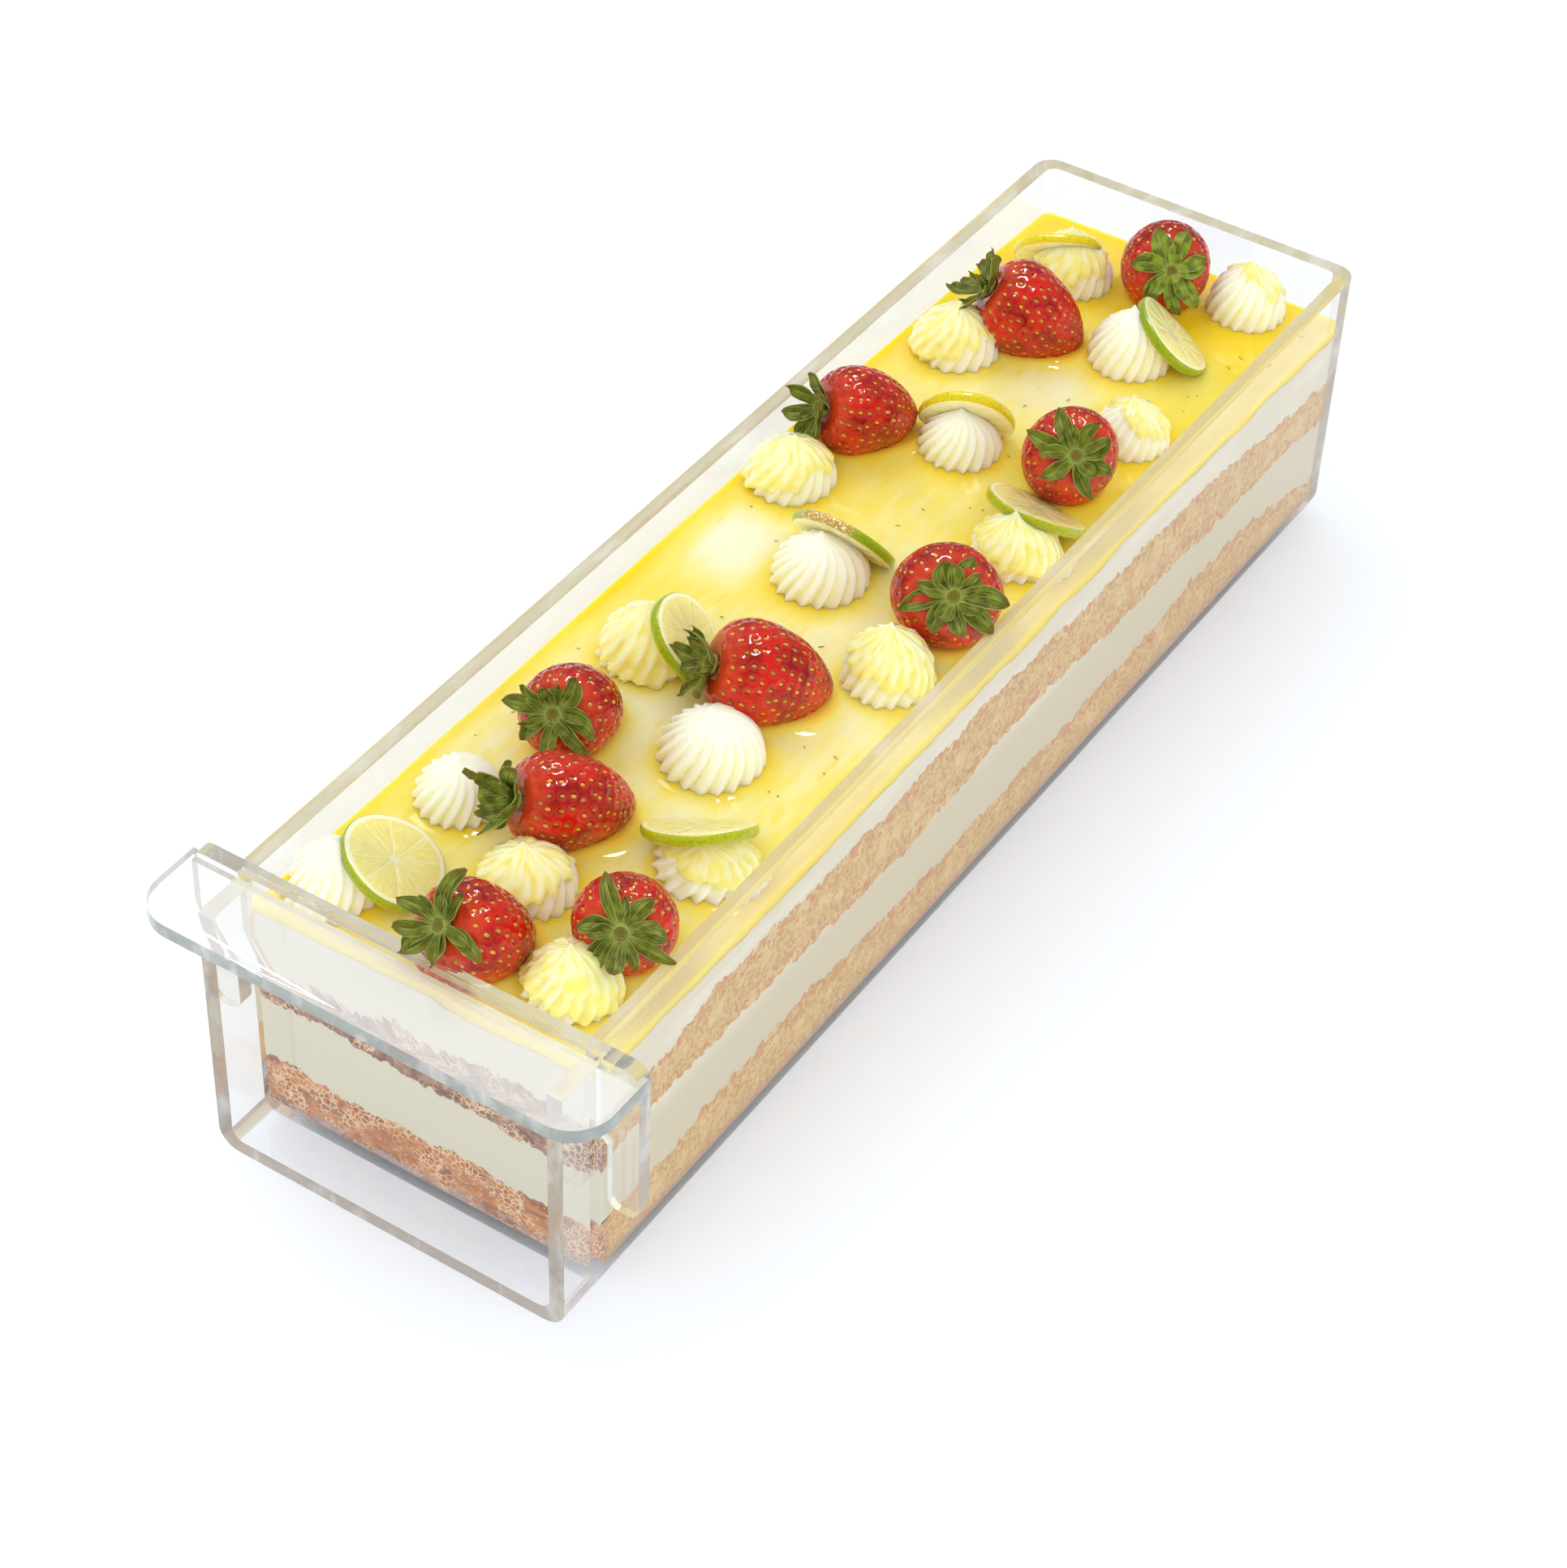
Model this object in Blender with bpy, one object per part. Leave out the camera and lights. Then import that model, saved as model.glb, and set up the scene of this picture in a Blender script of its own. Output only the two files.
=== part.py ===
"""A long layered lemon cream cake in its clear serving tray, topped with kisses, berries and citrus slices.

The shapes are modelled in millimetres and turned to metres at the end, +Z up. The origin lies on the floor
under the middle of the whole thing. +Y runs along the tray, away from the handle.
"""

import math
import random

import bmesh
import bpy
from mathutils import Matrix, Vector

MM = 0.001
GAP = 0.3
WELD = 0.02

# The tray is glued up from clear sheet of one thickness.
SHEET = 5.0
TRAY_WIDTH = 120.0
TRAY_LENGTH = 450.0
TRAY_HEIGHT = 95.0
TRAY_OUTER_BEND = 7.0
TRAY_INNER_BEND = 4.0
LEDGE_REACH = 11.0
PANEL_SETBACK = 14.5
EDGE_POLISH = 0.5

SIDE = TRAY_WIDTH / 2
INSIDE = SIDE - SHEET
BACK = (TRAY_LENGTH + LEDGE_REACH) / 2
FRONT = BACK - TRAY_LENGTH
PANEL_FACE = FRONT + PANEL_SETBACK
CAVITY_FRONT = PANEL_FACE + SHEET
CAVITY_BACK = BACK - SHEET

# The handle hooks over the front of the tray: a ledge to hold and an upright plate with two ears.
LEDGE_HALF = 75.0
LEDGE_BOTTOM = 89.0
LEDGE_THICK = 4.5
LEDGE_CORNER = 13.0
PLATE_HALF = 74.0
PLATE_TOP = 95.5
EAR_INNER = 64.0
EAR_BOTTOM = 40.0
SHOULDER_BOTTOM = 64.0

# Layer heights above the floor.
GLAZE_THICK = 4.0
GLAZE_FRONT_TOP = 82.2
GLAZE_FALL = 6.2
GLAZE_LEVEL_TO = -24.5
GLAZE_RUN = 250.0

KISS_RIDGES = 14
KISS_RIDGE_DEPTH = 0.07
KISS_TWIST = 0.9
KISS_PROFILE = ((0.0, 0.95), (0.2, 1.0), (0.45, 0.87), (0.68, 0.60), (0.85, 0.22))

BERRY_SIDES = 12
BERRY_PROFILE = ((0.0, 0.45), (0.12, 0.86), (0.3, 1.0), (0.5, 0.95), (0.7, 0.76), (0.87, 0.47), (0.96, 0.25))

CALYX_LEAVES = 8
CALYX_THICK = 0.8
CALYX_LIFT = 1.4
CALYX_STUB = 2.6
LEAF_LENGTH = 12.5

LIME_SIDES = 20
LIME_THICK = 3.2

# Each kiss: x, y, diameter, height, and how far the tip leans along x and y.
KISSES = (
    (-26.5, 192.0, 29.0, 21.0, -2.0, 1.5),
    (30.0, 211.0, 27.0, 22.5, 0.0, 0.0),
    (-35.5, 132.5, 30.0, 20.5, 0.5, -0.5),
    (13.0, 161.5, 28.0, 23.0, 0.0, 0.0),
    (35.5, 122.0, 25.5, 18.5, -0.5, 0.5),
    (-40.0, 40.5, 29.0, 19.0, 1.0, 0.0),
    (-6.0, 85.5, 27.0, 18.0, 0.0, -0.5),
    (36.5, 48.0, 28.5, 18.5, -1.0, 0.0),
    (-6.0, 4.5, 31.0, 20.0, 0.5, -1.0),
    (-28.0, -56.0, 28.5, 22.0, 0.0, 0.5),
    (35.5, -24.0, 28.0, 23.5, 0.5, 0.0),
    (13.0, -82.0, 32.0, 21.0, -0.5, -0.5),
    (-35.0, -137.0, 26.5, 18.0, 0.5, 0.0),
    (37.0, -120.5, 30.0, 12.0, 0.0, 1.0),
    (2.0, -155.5, 29.0, 18.0, -1.5, 0.5),
    (-39.0, -183.5, 27.5, 20.0, 0.5, 0.5),
    (34.5, -179.5, 28.0, 19.0, 0.0, -0.5),
)

# Each berry: centre x, y, z, then the azimuth and elevation its calyx points to, its diameter and length.
BERRIES = (
    (0.5, 205.5, 87.5, -54, 29, 30.0, 36.0),
    (-17.5, 151.0, 90.0, -150, 35, 30.0, 38.0),
    (-33.0, 74.0, 91.5, -125, 18, 29.0, 34.0),
    (29.5, 91.0, 91.5, -54, 37, 30.0, 36.0),
    (35.0, 8.0, 93.5, -51, 38, 32.0, 37.0),
    (13.5, -52.0, 93.0, -136, 22, 30.0, 38.0),
    (-24.5, -95.0, 92.0, -79, 34, 28.0, 36.0),
    (-2.0, -127.5, 92.5, -124, 21, 29.0, 37.0),
    (8.0, -183.0, 92.0, -105, 40, 29.0, 36.0),
    (36.0, -156.5, 92.0, -61, 32, 28.0, 35.0),
)

# Each slice: centre x, y, z, then the azimuth and elevation of its face, and its diameter.
LIMES = (
    (-32.5, 193.0, 86.0, -57, -33, 30.0),
    (23.0, 169.5, 88.5, 39, 46, 31.0),
    (-7.5, 92.0, 90.0, -67, -32, 31.0),
    (34.5, 62.5, 90.0, 78, 58, 33.0),
    (-5.0, 15.5, 91.5, -89, -36, 34.0),
    (-15.0, -53.0, 93.5, 24, 39, 30.0),
    (-29.5, -174.0, 90.5, 22, 61, 31.0),
    (32.5, -117.0, 92.0, 126, 55, 33.0),
)


def smooth_step(value):
    """0 below 0, 1 above 1, with a soft start and end."""
    value = min(max(value, 0.0), 1.0)
    return value * value * (3 - 2 * value)


def swell(y, crest, length):
    """A long wave along the cake, 1 at its crest."""
    return math.cos(2 * math.pi * (y - crest) / length)


def glaze_top(y):
    """The poured surface: level over the front half, then falling to the back."""
    share = min(max((y - GLAZE_LEVEL_TO) / GLAZE_RUN, 0.0), 1.0)
    return GLAZE_FRONT_TOP - GLAZE_FALL * share * share


def glaze_bottom(y):
    return glaze_top(y) - GLAZE_THICK


def lower_sponge_top(y):
    return 25.3 + 1.8 * swell(y, -105, 255) + 1.2 * swell(y, -105, 125) - 9 * smooth_step((y - 160) / 65)


def upper_sponge_bottom(y):
    front_rise = 4 * smooth_step((-140 - y) / 40)
    back_drop = 6 * smooth_step((y - 110) / 50)
    return 47 + 2.3 * swell(y, 20, 150) + front_rise - back_drop


def upper_sponge_top(y):
    front_drop = 6 * smooth_step((-145 - y) / 40)
    back_drop = 15 * max((y - 20) / 205, 0.0) ** 2
    return 69.5 + 0.8 * swell(y, -130, 130) - front_drop - back_drop


def new_object(name, bm):
    """An object that holds the bmesh, with every face turned outwards."""
    bmesh.ops.recalc_face_normals(bm, faces=bm.faces)
    mesh = bpy.data.meshes.new(name)
    bm.to_mesh(mesh)
    bm.free()
    obj = bpy.data.objects.new(name, mesh)
    bpy.context.scene.collection.objects.link(obj)
    return obj


def skin(rings, tip=None):
    """A closed solid through rings of equally many points. It ends in the last ring or in a tip."""
    bm = bmesh.new()
    loops = [[bm.verts.new(point) for point in ring] for ring in rings]
    count = len(loops[0])
    bm.faces.new(loops[0])
    for lower, upper in zip(loops, loops[1:]):
        for index in range(count):
            after = (index + 1) % count
            bm.faces.new((lower[index], lower[after], upper[after], upper[index]))
    if tip is None:
        bm.faces.new(loops[-1])
        return bm
    top = bm.verts.new(tip)
    for index in range(count):
        bm.faces.new((loops[-1][index], loops[-1][(index + 1) % count], top))
    return bm


def block(low, high, is_bent=None, bend=0.0):
    """A box whose edges that is_bent picks are rounded."""
    bm = bmesh.new()
    bmesh.ops.create_cube(bm, size=1)
    low, high = Vector(low), Vector(high)
    size = high - low
    bmesh.ops.transform(
        bm, matrix=Matrix.Translation((low + high) / 2) @ Matrix.Diagonal((*size, 1)), verts=bm.verts
    )
    if is_bent:
        edges = [edge for edge in bm.edges if is_bent(*(vert.co for vert in edge.verts))]
        bmesh.ops.bevel(
            bm, geom=edges, offset=bend, offset_type="OFFSET", segments=4, profile=0.5, affect="EDGES"
        )
    return bm


def apply_modifiers(obj):
    """Bakes the object's modifiers into its mesh."""
    bpy.context.view_layer.update()
    graph = bpy.context.evaluated_depsgraph_get()
    result = bpy.data.meshes.new_from_object(obj.evaluated_get(graph))
    obj.modifiers.clear()
    before = obj.data
    obj.data = result
    bpy.data.meshes.remove(before)


def apply_boolean(obj, other, operation):
    """Joins, cuts or intersects obj with the other object, which is kept."""
    modifier = obj.modifiers.new(operation, "BOOLEAN")
    modifier.operation = operation
    modifier.solver = "EXACT"
    modifier.object = other
    apply_modifiers(obj)


def remove(obj):
    bpy.data.objects.remove(obj)


def island(vert):
    """Every vertex that is joined to this one."""
    found, waiting = {vert}, [vert]
    while waiting:
        for edge in waiting.pop().link_edges:
            for other in edge.verts:
                if other not in found:
                    found.add(other)
                    waiting.append(other)
    return found


def keep_largest(obj):
    """Welds what a cut left closer than a hair, and drops every scrap but the main body."""
    bm = bmesh.new()
    bm.from_mesh(obj.data)
    bmesh.ops.remove_doubles(bm, verts=bm.verts, dist=WELD)
    bmesh.ops.dissolve_degenerate(bm, edges=bm.edges, dist=WELD)
    left, islands = set(bm.verts), []
    while left:
        found = island(next(iter(left)))
        islands.append(found)
        left -= found
    islands.sort(key=size_of, reverse=True)
    for scrap in islands[1:]:
        bmesh.ops.delete(bm, geom=list(scrap), context="VERTS")
    bm.to_mesh(obj.data)
    bm.free()


def size_of(verts):
    """The volume of the box round some vertices."""
    spans = [max(vert.co[axis] for vert in verts) - min(vert.co[axis] for vert in verts) for axis in range(3)]
    return spans[0] * spans[1] * spans[2]


def cut_by(obj, cutters):
    for cutter in cutters:
        apply_boolean(obj, cutter, "DIFFERENCE")
    if cutters:
        keep_largest(obj)


def rest_on_glaze(bm, y):
    """Cuts off what would lie in the glaze, along the plane that touches its surface here."""
    slope = (glaze_top(y + 1) - glaze_top(y - 1)) / 2
    cut = bmesh.ops.bisect_plane(
        bm,
        geom=list(bm.verts) + list(bm.edges) + list(bm.faces),
        dist=WELD,
        plane_co=(0, y, glaze_top(y) + GAP),
        plane_no=(0, -slope, 1),
        clear_inner=True,
    )
    rim = [edge for edge in cut["geom_cut"] if isinstance(edge, bmesh.types.BMEdge)]
    bmesh.ops.holes_fill(bm, edges=rim, sides=0)


def bent_tray_edge(one, other):
    """True on the outer box's long and back bottom edges and its back upright edges."""
    along_bottom = one.z < 1 and other.z < 1
    at_front = one.y < FRONT + 1 and other.y < FRONT + 1
    upright_at_back = one.y > BACK - 1 and other.y > BACK - 1 and one.x * other.x > 0
    return (along_bottom and not at_front) or upright_at_back


def cavity(inset):
    """The space inside the tray, shrunk by inset and open at the top."""
    low = (-INSIDE + inset, CAVITY_FRONT + inset, SHEET + inset)
    high = (INSIDE - inset, CAVITY_BACK - inset, TRAY_HEIGHT + 30)

    def is_bent(one, other):
        along_bottom = one.z < SHEET + 1 and other.z < SHEET + 1
        upright_at_back = one.y > CAVITY_BACK - 1 and other.y > CAVITY_BACK - 1 and one.x * other.x > 0
        return along_bottom or upright_at_back

    return block(low, high, is_bent, TRAY_INNER_BEND - inset)


def polish_edges(obj):
    """Breaks the sharp edges of the cut sheet, as flame or buffing does."""
    bevel = obj.modifiers.new("polish", "BEVEL")
    bevel.width = EDGE_POLISH
    bevel.segments = 1
    bevel.limit_method = "ANGLE"
    bevel.angle_limit = math.radians(50)
    apply_modifiers(obj)
    keep_largest(obj)


def make_tray():
    """Floor, three bent walls and a front panel that is set back between the side walls."""
    tray = new_object("tray", block((-SIDE, FRONT, 0), (SIDE, BACK, TRAY_HEIGHT), bent_tray_edge, TRAY_OUTER_BEND))

    def recess_edge(one, other):
        return one.z < SHEET + 1 and other.z < SHEET + 1 and one.x * other.x > 0

    over = TRAY_HEIGHT + 20
    recess = block(
        (-INSIDE, FRONT - 20, SHEET), (INSIDE, PANEL_FACE, over), recess_edge, TRAY_INNER_BEND
    )
    seat = block((-SIDE - 10, FRONT - 10, LEDGE_BOTTOM - GAP), (SIDE + 10, CAVITY_FRONT + GAP, over))
    for name, bm in (("cavity", cavity(0)), ("recess", recess), ("handle_seat", seat)):
        cutter = new_object(name, bm)
        apply_boolean(tray, cutter, "DIFFERENCE")
        remove(cutter)
    polish_edges(tray)
    return tray


def rounded_outline(corners, steps=4):
    """The points of a closed outline whose corners (u, v, radius) are turned into arcs."""
    points = []
    for index, (u, v, radius) in enumerate(corners):
        corner = Vector((u, v))
        if radius == 0:
            points.append(corner)
            continue
        before = (Vector(corners[index - 1][:2]) - corner).normalized()
        after = (Vector(corners[(index + 1) % len(corners)][:2]) - corner).normalized()
        half = before.angle(after) / 2
        centre = corner + (before + after).normalized() * radius / math.sin(half)
        start = corner + before * radius / math.tan(half) - centre
        end = corner + after * radius / math.tan(half) - centre
        turn = start.angle_signed(end)
        for step in range(steps + 1):
            points.append(centre + Matrix.Rotation(-turn * step / steps, 2) @ start)
    return points


def prism(outline, low, high, place):
    """The outline drawn out from low to high. place turns (u, v, w) into a point."""
    return skin([[place(u, v, w) for u, v in outline] for w in (low, high)])


def mirrored(half):
    """A closed outline from its right half, listed from top to bottom."""
    return list(half) + [(-u, v, radius) for u, v, radius in reversed(half)]


def make_handle():
    """The ledge joined to the upright plate that straddles the tray."""
    outer = SIDE + GAP
    plate_half = (
        (PLATE_HALF, PLATE_TOP, 4.5),
        (PLATE_HALF, EAR_BOTTOM, 4.0),
        (EAR_INNER, EAR_BOTTOM, 4.0),
        (EAR_INNER, SHOULDER_BOTTOM, 0),
        (outer, SHOULDER_BOTTOM + 3, 0),
        (outer, LEDGE_BOTTOM, 0),
    )
    ledge_half = ((LEDGE_HALF, PANEL_FACE + 2.5, 0), (LEDGE_HALF, FRONT - LEDGE_REACH, LEDGE_CORNER))
    plate = prism(
        rounded_outline(mirrored(plate_half)), PANEL_FACE, CAVITY_FRONT, lambda u, v, w: (u, w, v)
    )
    ledge = prism(
        rounded_outline(mirrored(ledge_half)), LEDGE_BOTTOM, LEDGE_BOTTOM + LEDGE_THICK, lambda u, v, w: (u, v, w)
    )
    handle = new_object("handle", plate)
    other = new_object("ledge", ledge)
    apply_boolean(handle, other, "UNION")
    remove(other)
    polish_edges(handle)
    return handle


def layer(name, bottom, top, mould):
    """A layer between two surfaces that run along the cake, cut to the inside of the tray."""
    stations = 20
    columns = (-INSIDE - 3, -INSIDE / 2, 0, INSIDE / 2, INSIDE + 3)
    rings = []
    for station in range(stations):
        y = CAVITY_FRONT - 3 + (CAVITY_BACK - CAVITY_FRONT + 6) * station / (stations - 1)
        low = [(x, y, bottom(y)) for x in columns]
        high = [(x, y, top(y)) for x in reversed(columns)]
        rings.append(low + high)
    obj = new_object(name, skin(rings))
    apply_boolean(obj, mould, "INTERSECT")
    keep_largest(obj)
    return obj


def make_layers():
    """Sponge, cream, sponge, cream and the poured glaze, from the tray's floor up."""
    mould = new_object("mould", cavity(GAP))
    layers = (
        ("sponge_lower", lambda y: 0, lower_sponge_top),
        ("cream_lower", lambda y: lower_sponge_top(y) + GAP, lambda y: upper_sponge_bottom(y) - GAP),
        ("sponge_upper", upper_sponge_bottom, upper_sponge_top),
        ("cream_upper", lambda y: upper_sponge_top(y) + GAP, lambda y: glaze_bottom(y) - GAP),
        ("glaze", glaze_bottom, glaze_top),
    )
    made = [layer(name, bottom, top, mould) for name, bottom, top in layers]
    remove(mould)
    return made


def kiss_body(kiss, grow=0.0):
    """One piped kiss: a ridged, slightly twisted cone that ends in a pulled tip."""
    x, y, diameter, height, lean_x, lean_y = kiss
    points = 2 * KISS_RIDGES
    turn = KISS_TWIST + 0.3 * math.sin(x + y)
    rings = []
    for share, width in KISS_PROFILE:
        ring = []
        for index in range(points):
            angle = 2 * math.pi * index / points + turn * share
            ridge = 1 + (KISS_RIDGE_DEPTH if index % 2 else -KISS_RIDGE_DEPTH)
            radius = (diameter / 2 * width) / (1 + KISS_RIDGE_DEPTH) * ridge + grow
            px = x + radius * math.cos(angle) + lean_x * share * share
            py = y + radius * math.sin(angle) + lean_y * share * share
            lift = GAP + share * height + (grow if share else -grow)
            ring.append((px, py, glaze_top(py) + lift))
        rings.append(ring)
    tip = (x + lean_x, y + lean_y, glaze_top(y) + GAP + height + grow)
    return skin(rings, tip)


def facing(azimuth, elevation):
    """The turn that takes +Z to the given direction."""
    return Matrix.Rotation(math.radians(azimuth), 3, "Z") @ Matrix.Rotation(math.radians(90 - elevation), 3, "Y")


def berry_body(berry, grow=0.0):
    """One strawberry on its side: widest near the calyx end, with a blunt tip."""
    x, y, z, azimuth, elevation, diameter, length = berry
    turn = facing(azimuth, elevation)
    centre = Vector((x, y, z))
    full = length + 2 * grow
    rings = []
    for share, width in BERRY_PROFILE:
        ring = []
        for index in range(BERRY_SIDES):
            angle = 2 * math.pi * index / BERRY_SIDES
            radius = diameter / 2 * width * (1 + 0.03 * math.cos(2 * angle + x)) + grow
            local = Vector((radius * math.cos(angle), radius * math.sin(angle), (0.5 - share) * full))
            ring.append(centre + turn @ local)
        rings.append(ring)
    bm = skin(rings, centre + turn @ Vector((0, 0, -full / 2)))
    if grow == 0:
        rest_on_glaze(bm, y)
    return bm


def lime_body(lime, grow=0.0):
    """One round slice."""
    x, y, z, azimuth, elevation, diameter = lime
    turn = facing(azimuth, elevation)
    radius = diameter / 2 + grow
    half = LIME_THICK / 2 + grow
    rings = []
    for side in (-half, half):
        ring = []
        for index in range(LIME_SIDES):
            angle = 2 * math.pi * index / LIME_SIDES
            ring.append(Vector((x, y, z)) + turn @ Vector((radius * math.cos(angle), radius * math.sin(angle), side)))
        rings.append(ring)
    bm = skin(rings)
    if grow == 0:
        rest_on_glaze(bm, y)
    return bm


def calyx_body(berry, seed):
    """A star of pointed leaves that droops over the berry's shoulder, with a stub of stem in the middle."""
    x, y, z, azimuth, elevation, _, length = berry
    draw = random.Random(seed)
    turn = facing(azimuth, elevation)
    centre = Vector((x, y, z)) + turn @ Vector((0, 0, length / 2))
    droop = draw.uniform(1.6, 2.6)

    def sheet_point(radius, angle, lift):
        height = CALYX_LIFT - droop * (radius / LEAF_LENGTH) ** 2.5 + lift
        return Vector((radius * math.cos(angle), radius * math.sin(angle), height))

    top, faces, rim = [Vector((0, 0, CALYX_LIFT))], [], []
    step = 2 * math.pi / CALYX_LEAVES
    first = 1
    per_leaf = 9
    for leaf in range(CALYX_LEAVES):
        middle = leaf * step + draw.uniform(-0.05, 0.05)
        reach = LEAF_LENGTH * draw.uniform(0.85, 1.08)
        curl = draw.uniform(-0.4, 2.4)
        top.append(sheet_point(3.4, leaf * step - step / 2, 0))
        top.append(sheet_point(3.4, middle, 0))
        for share, half_width, lift in ((0.52, 2.1, 0.1), (0.78, 1.6, 0.4)):
            radius = reach * share
            spread = half_width / (LEAF_LENGTH * share)
            for side in (-1, 0, 1):
                edge_lift = 0.5 * abs(side) + curl * lift
                top.append(sheet_point(radius, middle + side * spread, edge_lift))
        top.append(sheet_point(reach, middle + draw.uniform(-0.12, 0.12), curl))
        base = first + leaf * per_leaf
        valley, root, left, mid, right, left_far, mid_far, right_far, point = range(base, base + per_leaf)
        next_valley = first + (leaf + 1) % CALYX_LEAVES * per_leaf
        faces += [(0, valley, root), (0, root, next_valley)]
        faces += [(valley, left, mid), (valley, mid, root), (root, mid, right), (root, right, next_valley)]
        faces += [(left, left_far, mid_far), (left, mid_far, mid), (mid, mid_far, right_far), (mid, right_far, right)]
        faces += [(left_far, point, mid_far), (mid_far, point, right_far)]
        rim += [valley, left, left_far, point, right_far, right]

    bm = bmesh.new()
    half = Vector((0, 0, CALYX_THICK / 2))
    stub = Vector((0, 0, CALYX_STUB))
    upper = [bm.verts.new(centre + turn @ (point + half + (stub if index == 0 else Vector())))
             for index, point in enumerate(top)]
    lower = [bm.verts.new(centre + turn @ (point - half)) for point in top]
    for a, b, c in faces:
        bm.faces.new((upper[a], upper[b], upper[c]))
        bm.faces.new((lower[c], lower[b], lower[a]))
    for a, b in zip(rim, rim[1:] + rim[:1]):
        bm.faces.new((upper[a], lower[a], lower[b], upper[b]))
    rest_on_glaze(bm, y)
    return bm


def near(one, other, reach):
    return math.dist(one[:2], other[:2]) < reach


def make_toppings():
    """Kisses, berries, their calyxes and the slices. What meets is cut back to leave a fine gap."""
    clearance = GAP + 0.05
    berry_cutters = [new_object("berry_cutter", berry_body(berry, clearance)) for berry in BERRIES]
    lime_cutters = [new_object("lime_cutter", lime_body(lime, clearance)) for lime in LIMES]
    kiss_cutters = [new_object("kiss_cutter", kiss_body(kiss, clearance)) for kiss in KISSES]
    mould = new_object("mould", cavity(GAP))
    reach = 45

    def neighbours(place, places, cutters):
        return [cutter for other, cutter in zip(places, cutters) if near(place, other, reach) and other is not place]

    made = []
    for index, kiss in enumerate(KISSES, 1):
        obj = new_object(f"kiss_{index:02d}", kiss_body(kiss))
        cut_by(obj, neighbours(kiss, BERRIES, berry_cutters) + neighbours(kiss, LIMES, lime_cutters))
        made.append((obj, "kiss_cream", kiss[:2]))
    for index, berry in enumerate(BERRIES, 1):
        obj = new_object(f"strawberry_{index:02d}", berry_body(berry))
        apply_boolean(obj, mould, "INTERSECT")
        keep_largest(obj)
        made.append((obj, "strawberry_red", berry[:2]))
        calyx = new_object(f"calyx_{index:02d}", calyx_body(berry, index))
        cut_by(
            calyx,
            neighbours(berry, BERRIES, berry_cutters)
            + neighbours(berry, LIMES, lime_cutters)
            + neighbours(berry, KISSES, kiss_cutters),
        )
        apply_boolean(calyx, mould, "INTERSECT")
        keep_largest(calyx)
        made.append((calyx, "calyx_green", berry[:2]))
    for index, lime in enumerate(LIMES, 1):
        obj = new_object(f"lime_{index:02d}", lime_body(lime))
        cut_by(obj, neighbours(lime, BERRIES, berry_cutters))
        apply_boolean(obj, mould, "INTERSECT")
        keep_largest(obj)
        made.append((obj, "lime_green", lime[:2]))
    for cutter in berry_cutters + lime_cutters + kiss_cutters + [mould]:
        remove(cutter)
    return made


def make_material(name, colour, roughness, transmission=0.0):
    material = bpy.data.materials.new(name)
    material.use_nodes = True
    shader = material.node_tree.nodes["Principled BSDF"]
    shader.inputs["Base Color"].default_value = (*colour, 1)
    shader.inputs["Roughness"].default_value = roughness
    shader.inputs["Metallic"].default_value = 0
    shader.inputs["Transmission Weight"].default_value = transmission
    return material


def finish(obj, material, parent, origin):
    """Turns the piece to metres, puts its origin at its own foot and shades its round faces smooth."""
    place = Vector(origin) * MM
    obj.data.transform(Matrix.Translation(-place) @ Matrix.Scale(MM, 4))
    obj.location = place
    obj.parent = parent
    obj.data.materials.clear()
    obj.data.materials.append(material)
    obj.data.shade_smooth()
    obj.data.set_sharp_from_angle(angle=math.radians(40))


def new_group(name):
    group = bpy.data.objects.new(name, None)
    bpy.context.scene.collection.objects.link(group)
    return group


def main():
    for obj in list(bpy.data.objects):
        bpy.data.objects.remove(obj)
    materials = {
        "clear_acrylic": make_material("clear_acrylic", (0.96, 0.97, 0.97), 0.03, 1.0),
        "sponge_crumb": make_material("sponge_crumb", (0.70, 0.50, 0.28), 0.9),
        "layer_cream": make_material("layer_cream", (0.75, 0.72, 0.60), 0.6),
        "lemon_glaze": make_material("lemon_glaze", (0.93, 0.78, 0.14), 0.12),
        "kiss_cream": make_material("kiss_cream", (0.95, 0.90, 0.70), 0.45),
        "strawberry_red": make_material("strawberry_red", (0.55, 0.03, 0.02), 0.2),
        "calyx_green": make_material("calyx_green", (0.20, 0.33, 0.06), 0.55),
        "lime_green": make_material("lime_green", (0.55, 0.62, 0.15), 0.35),
    }
    dish, cake = new_group("dish_parts"), new_group("cake_parts")
    finish(make_tray(), materials["clear_acrylic"], dish, (0, 0, 0))
    finish(make_handle(), materials["clear_acrylic"], dish, (0, PANEL_FACE, LEDGE_BOTTOM))
    layer_materials = ("sponge_crumb", "layer_cream", "sponge_crumb", "layer_cream", "lemon_glaze")
    for obj, name in zip(make_layers(), layer_materials):
        finish(obj, materials[name], cake, (0, 0, SHEET))
    for obj, name, (x, y) in make_toppings():
        finish(obj, materials[name], cake, (x, y, glaze_top(y)))


main()
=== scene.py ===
"""Dresses the long lemon cream cake in its clear tray: sponge, cream, glaze, kisses, berries and slices.

Shapes are worked out in millimetres and stored in metres, +Z up. +Y runs along the tray, away from the
handle.
"""

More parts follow.
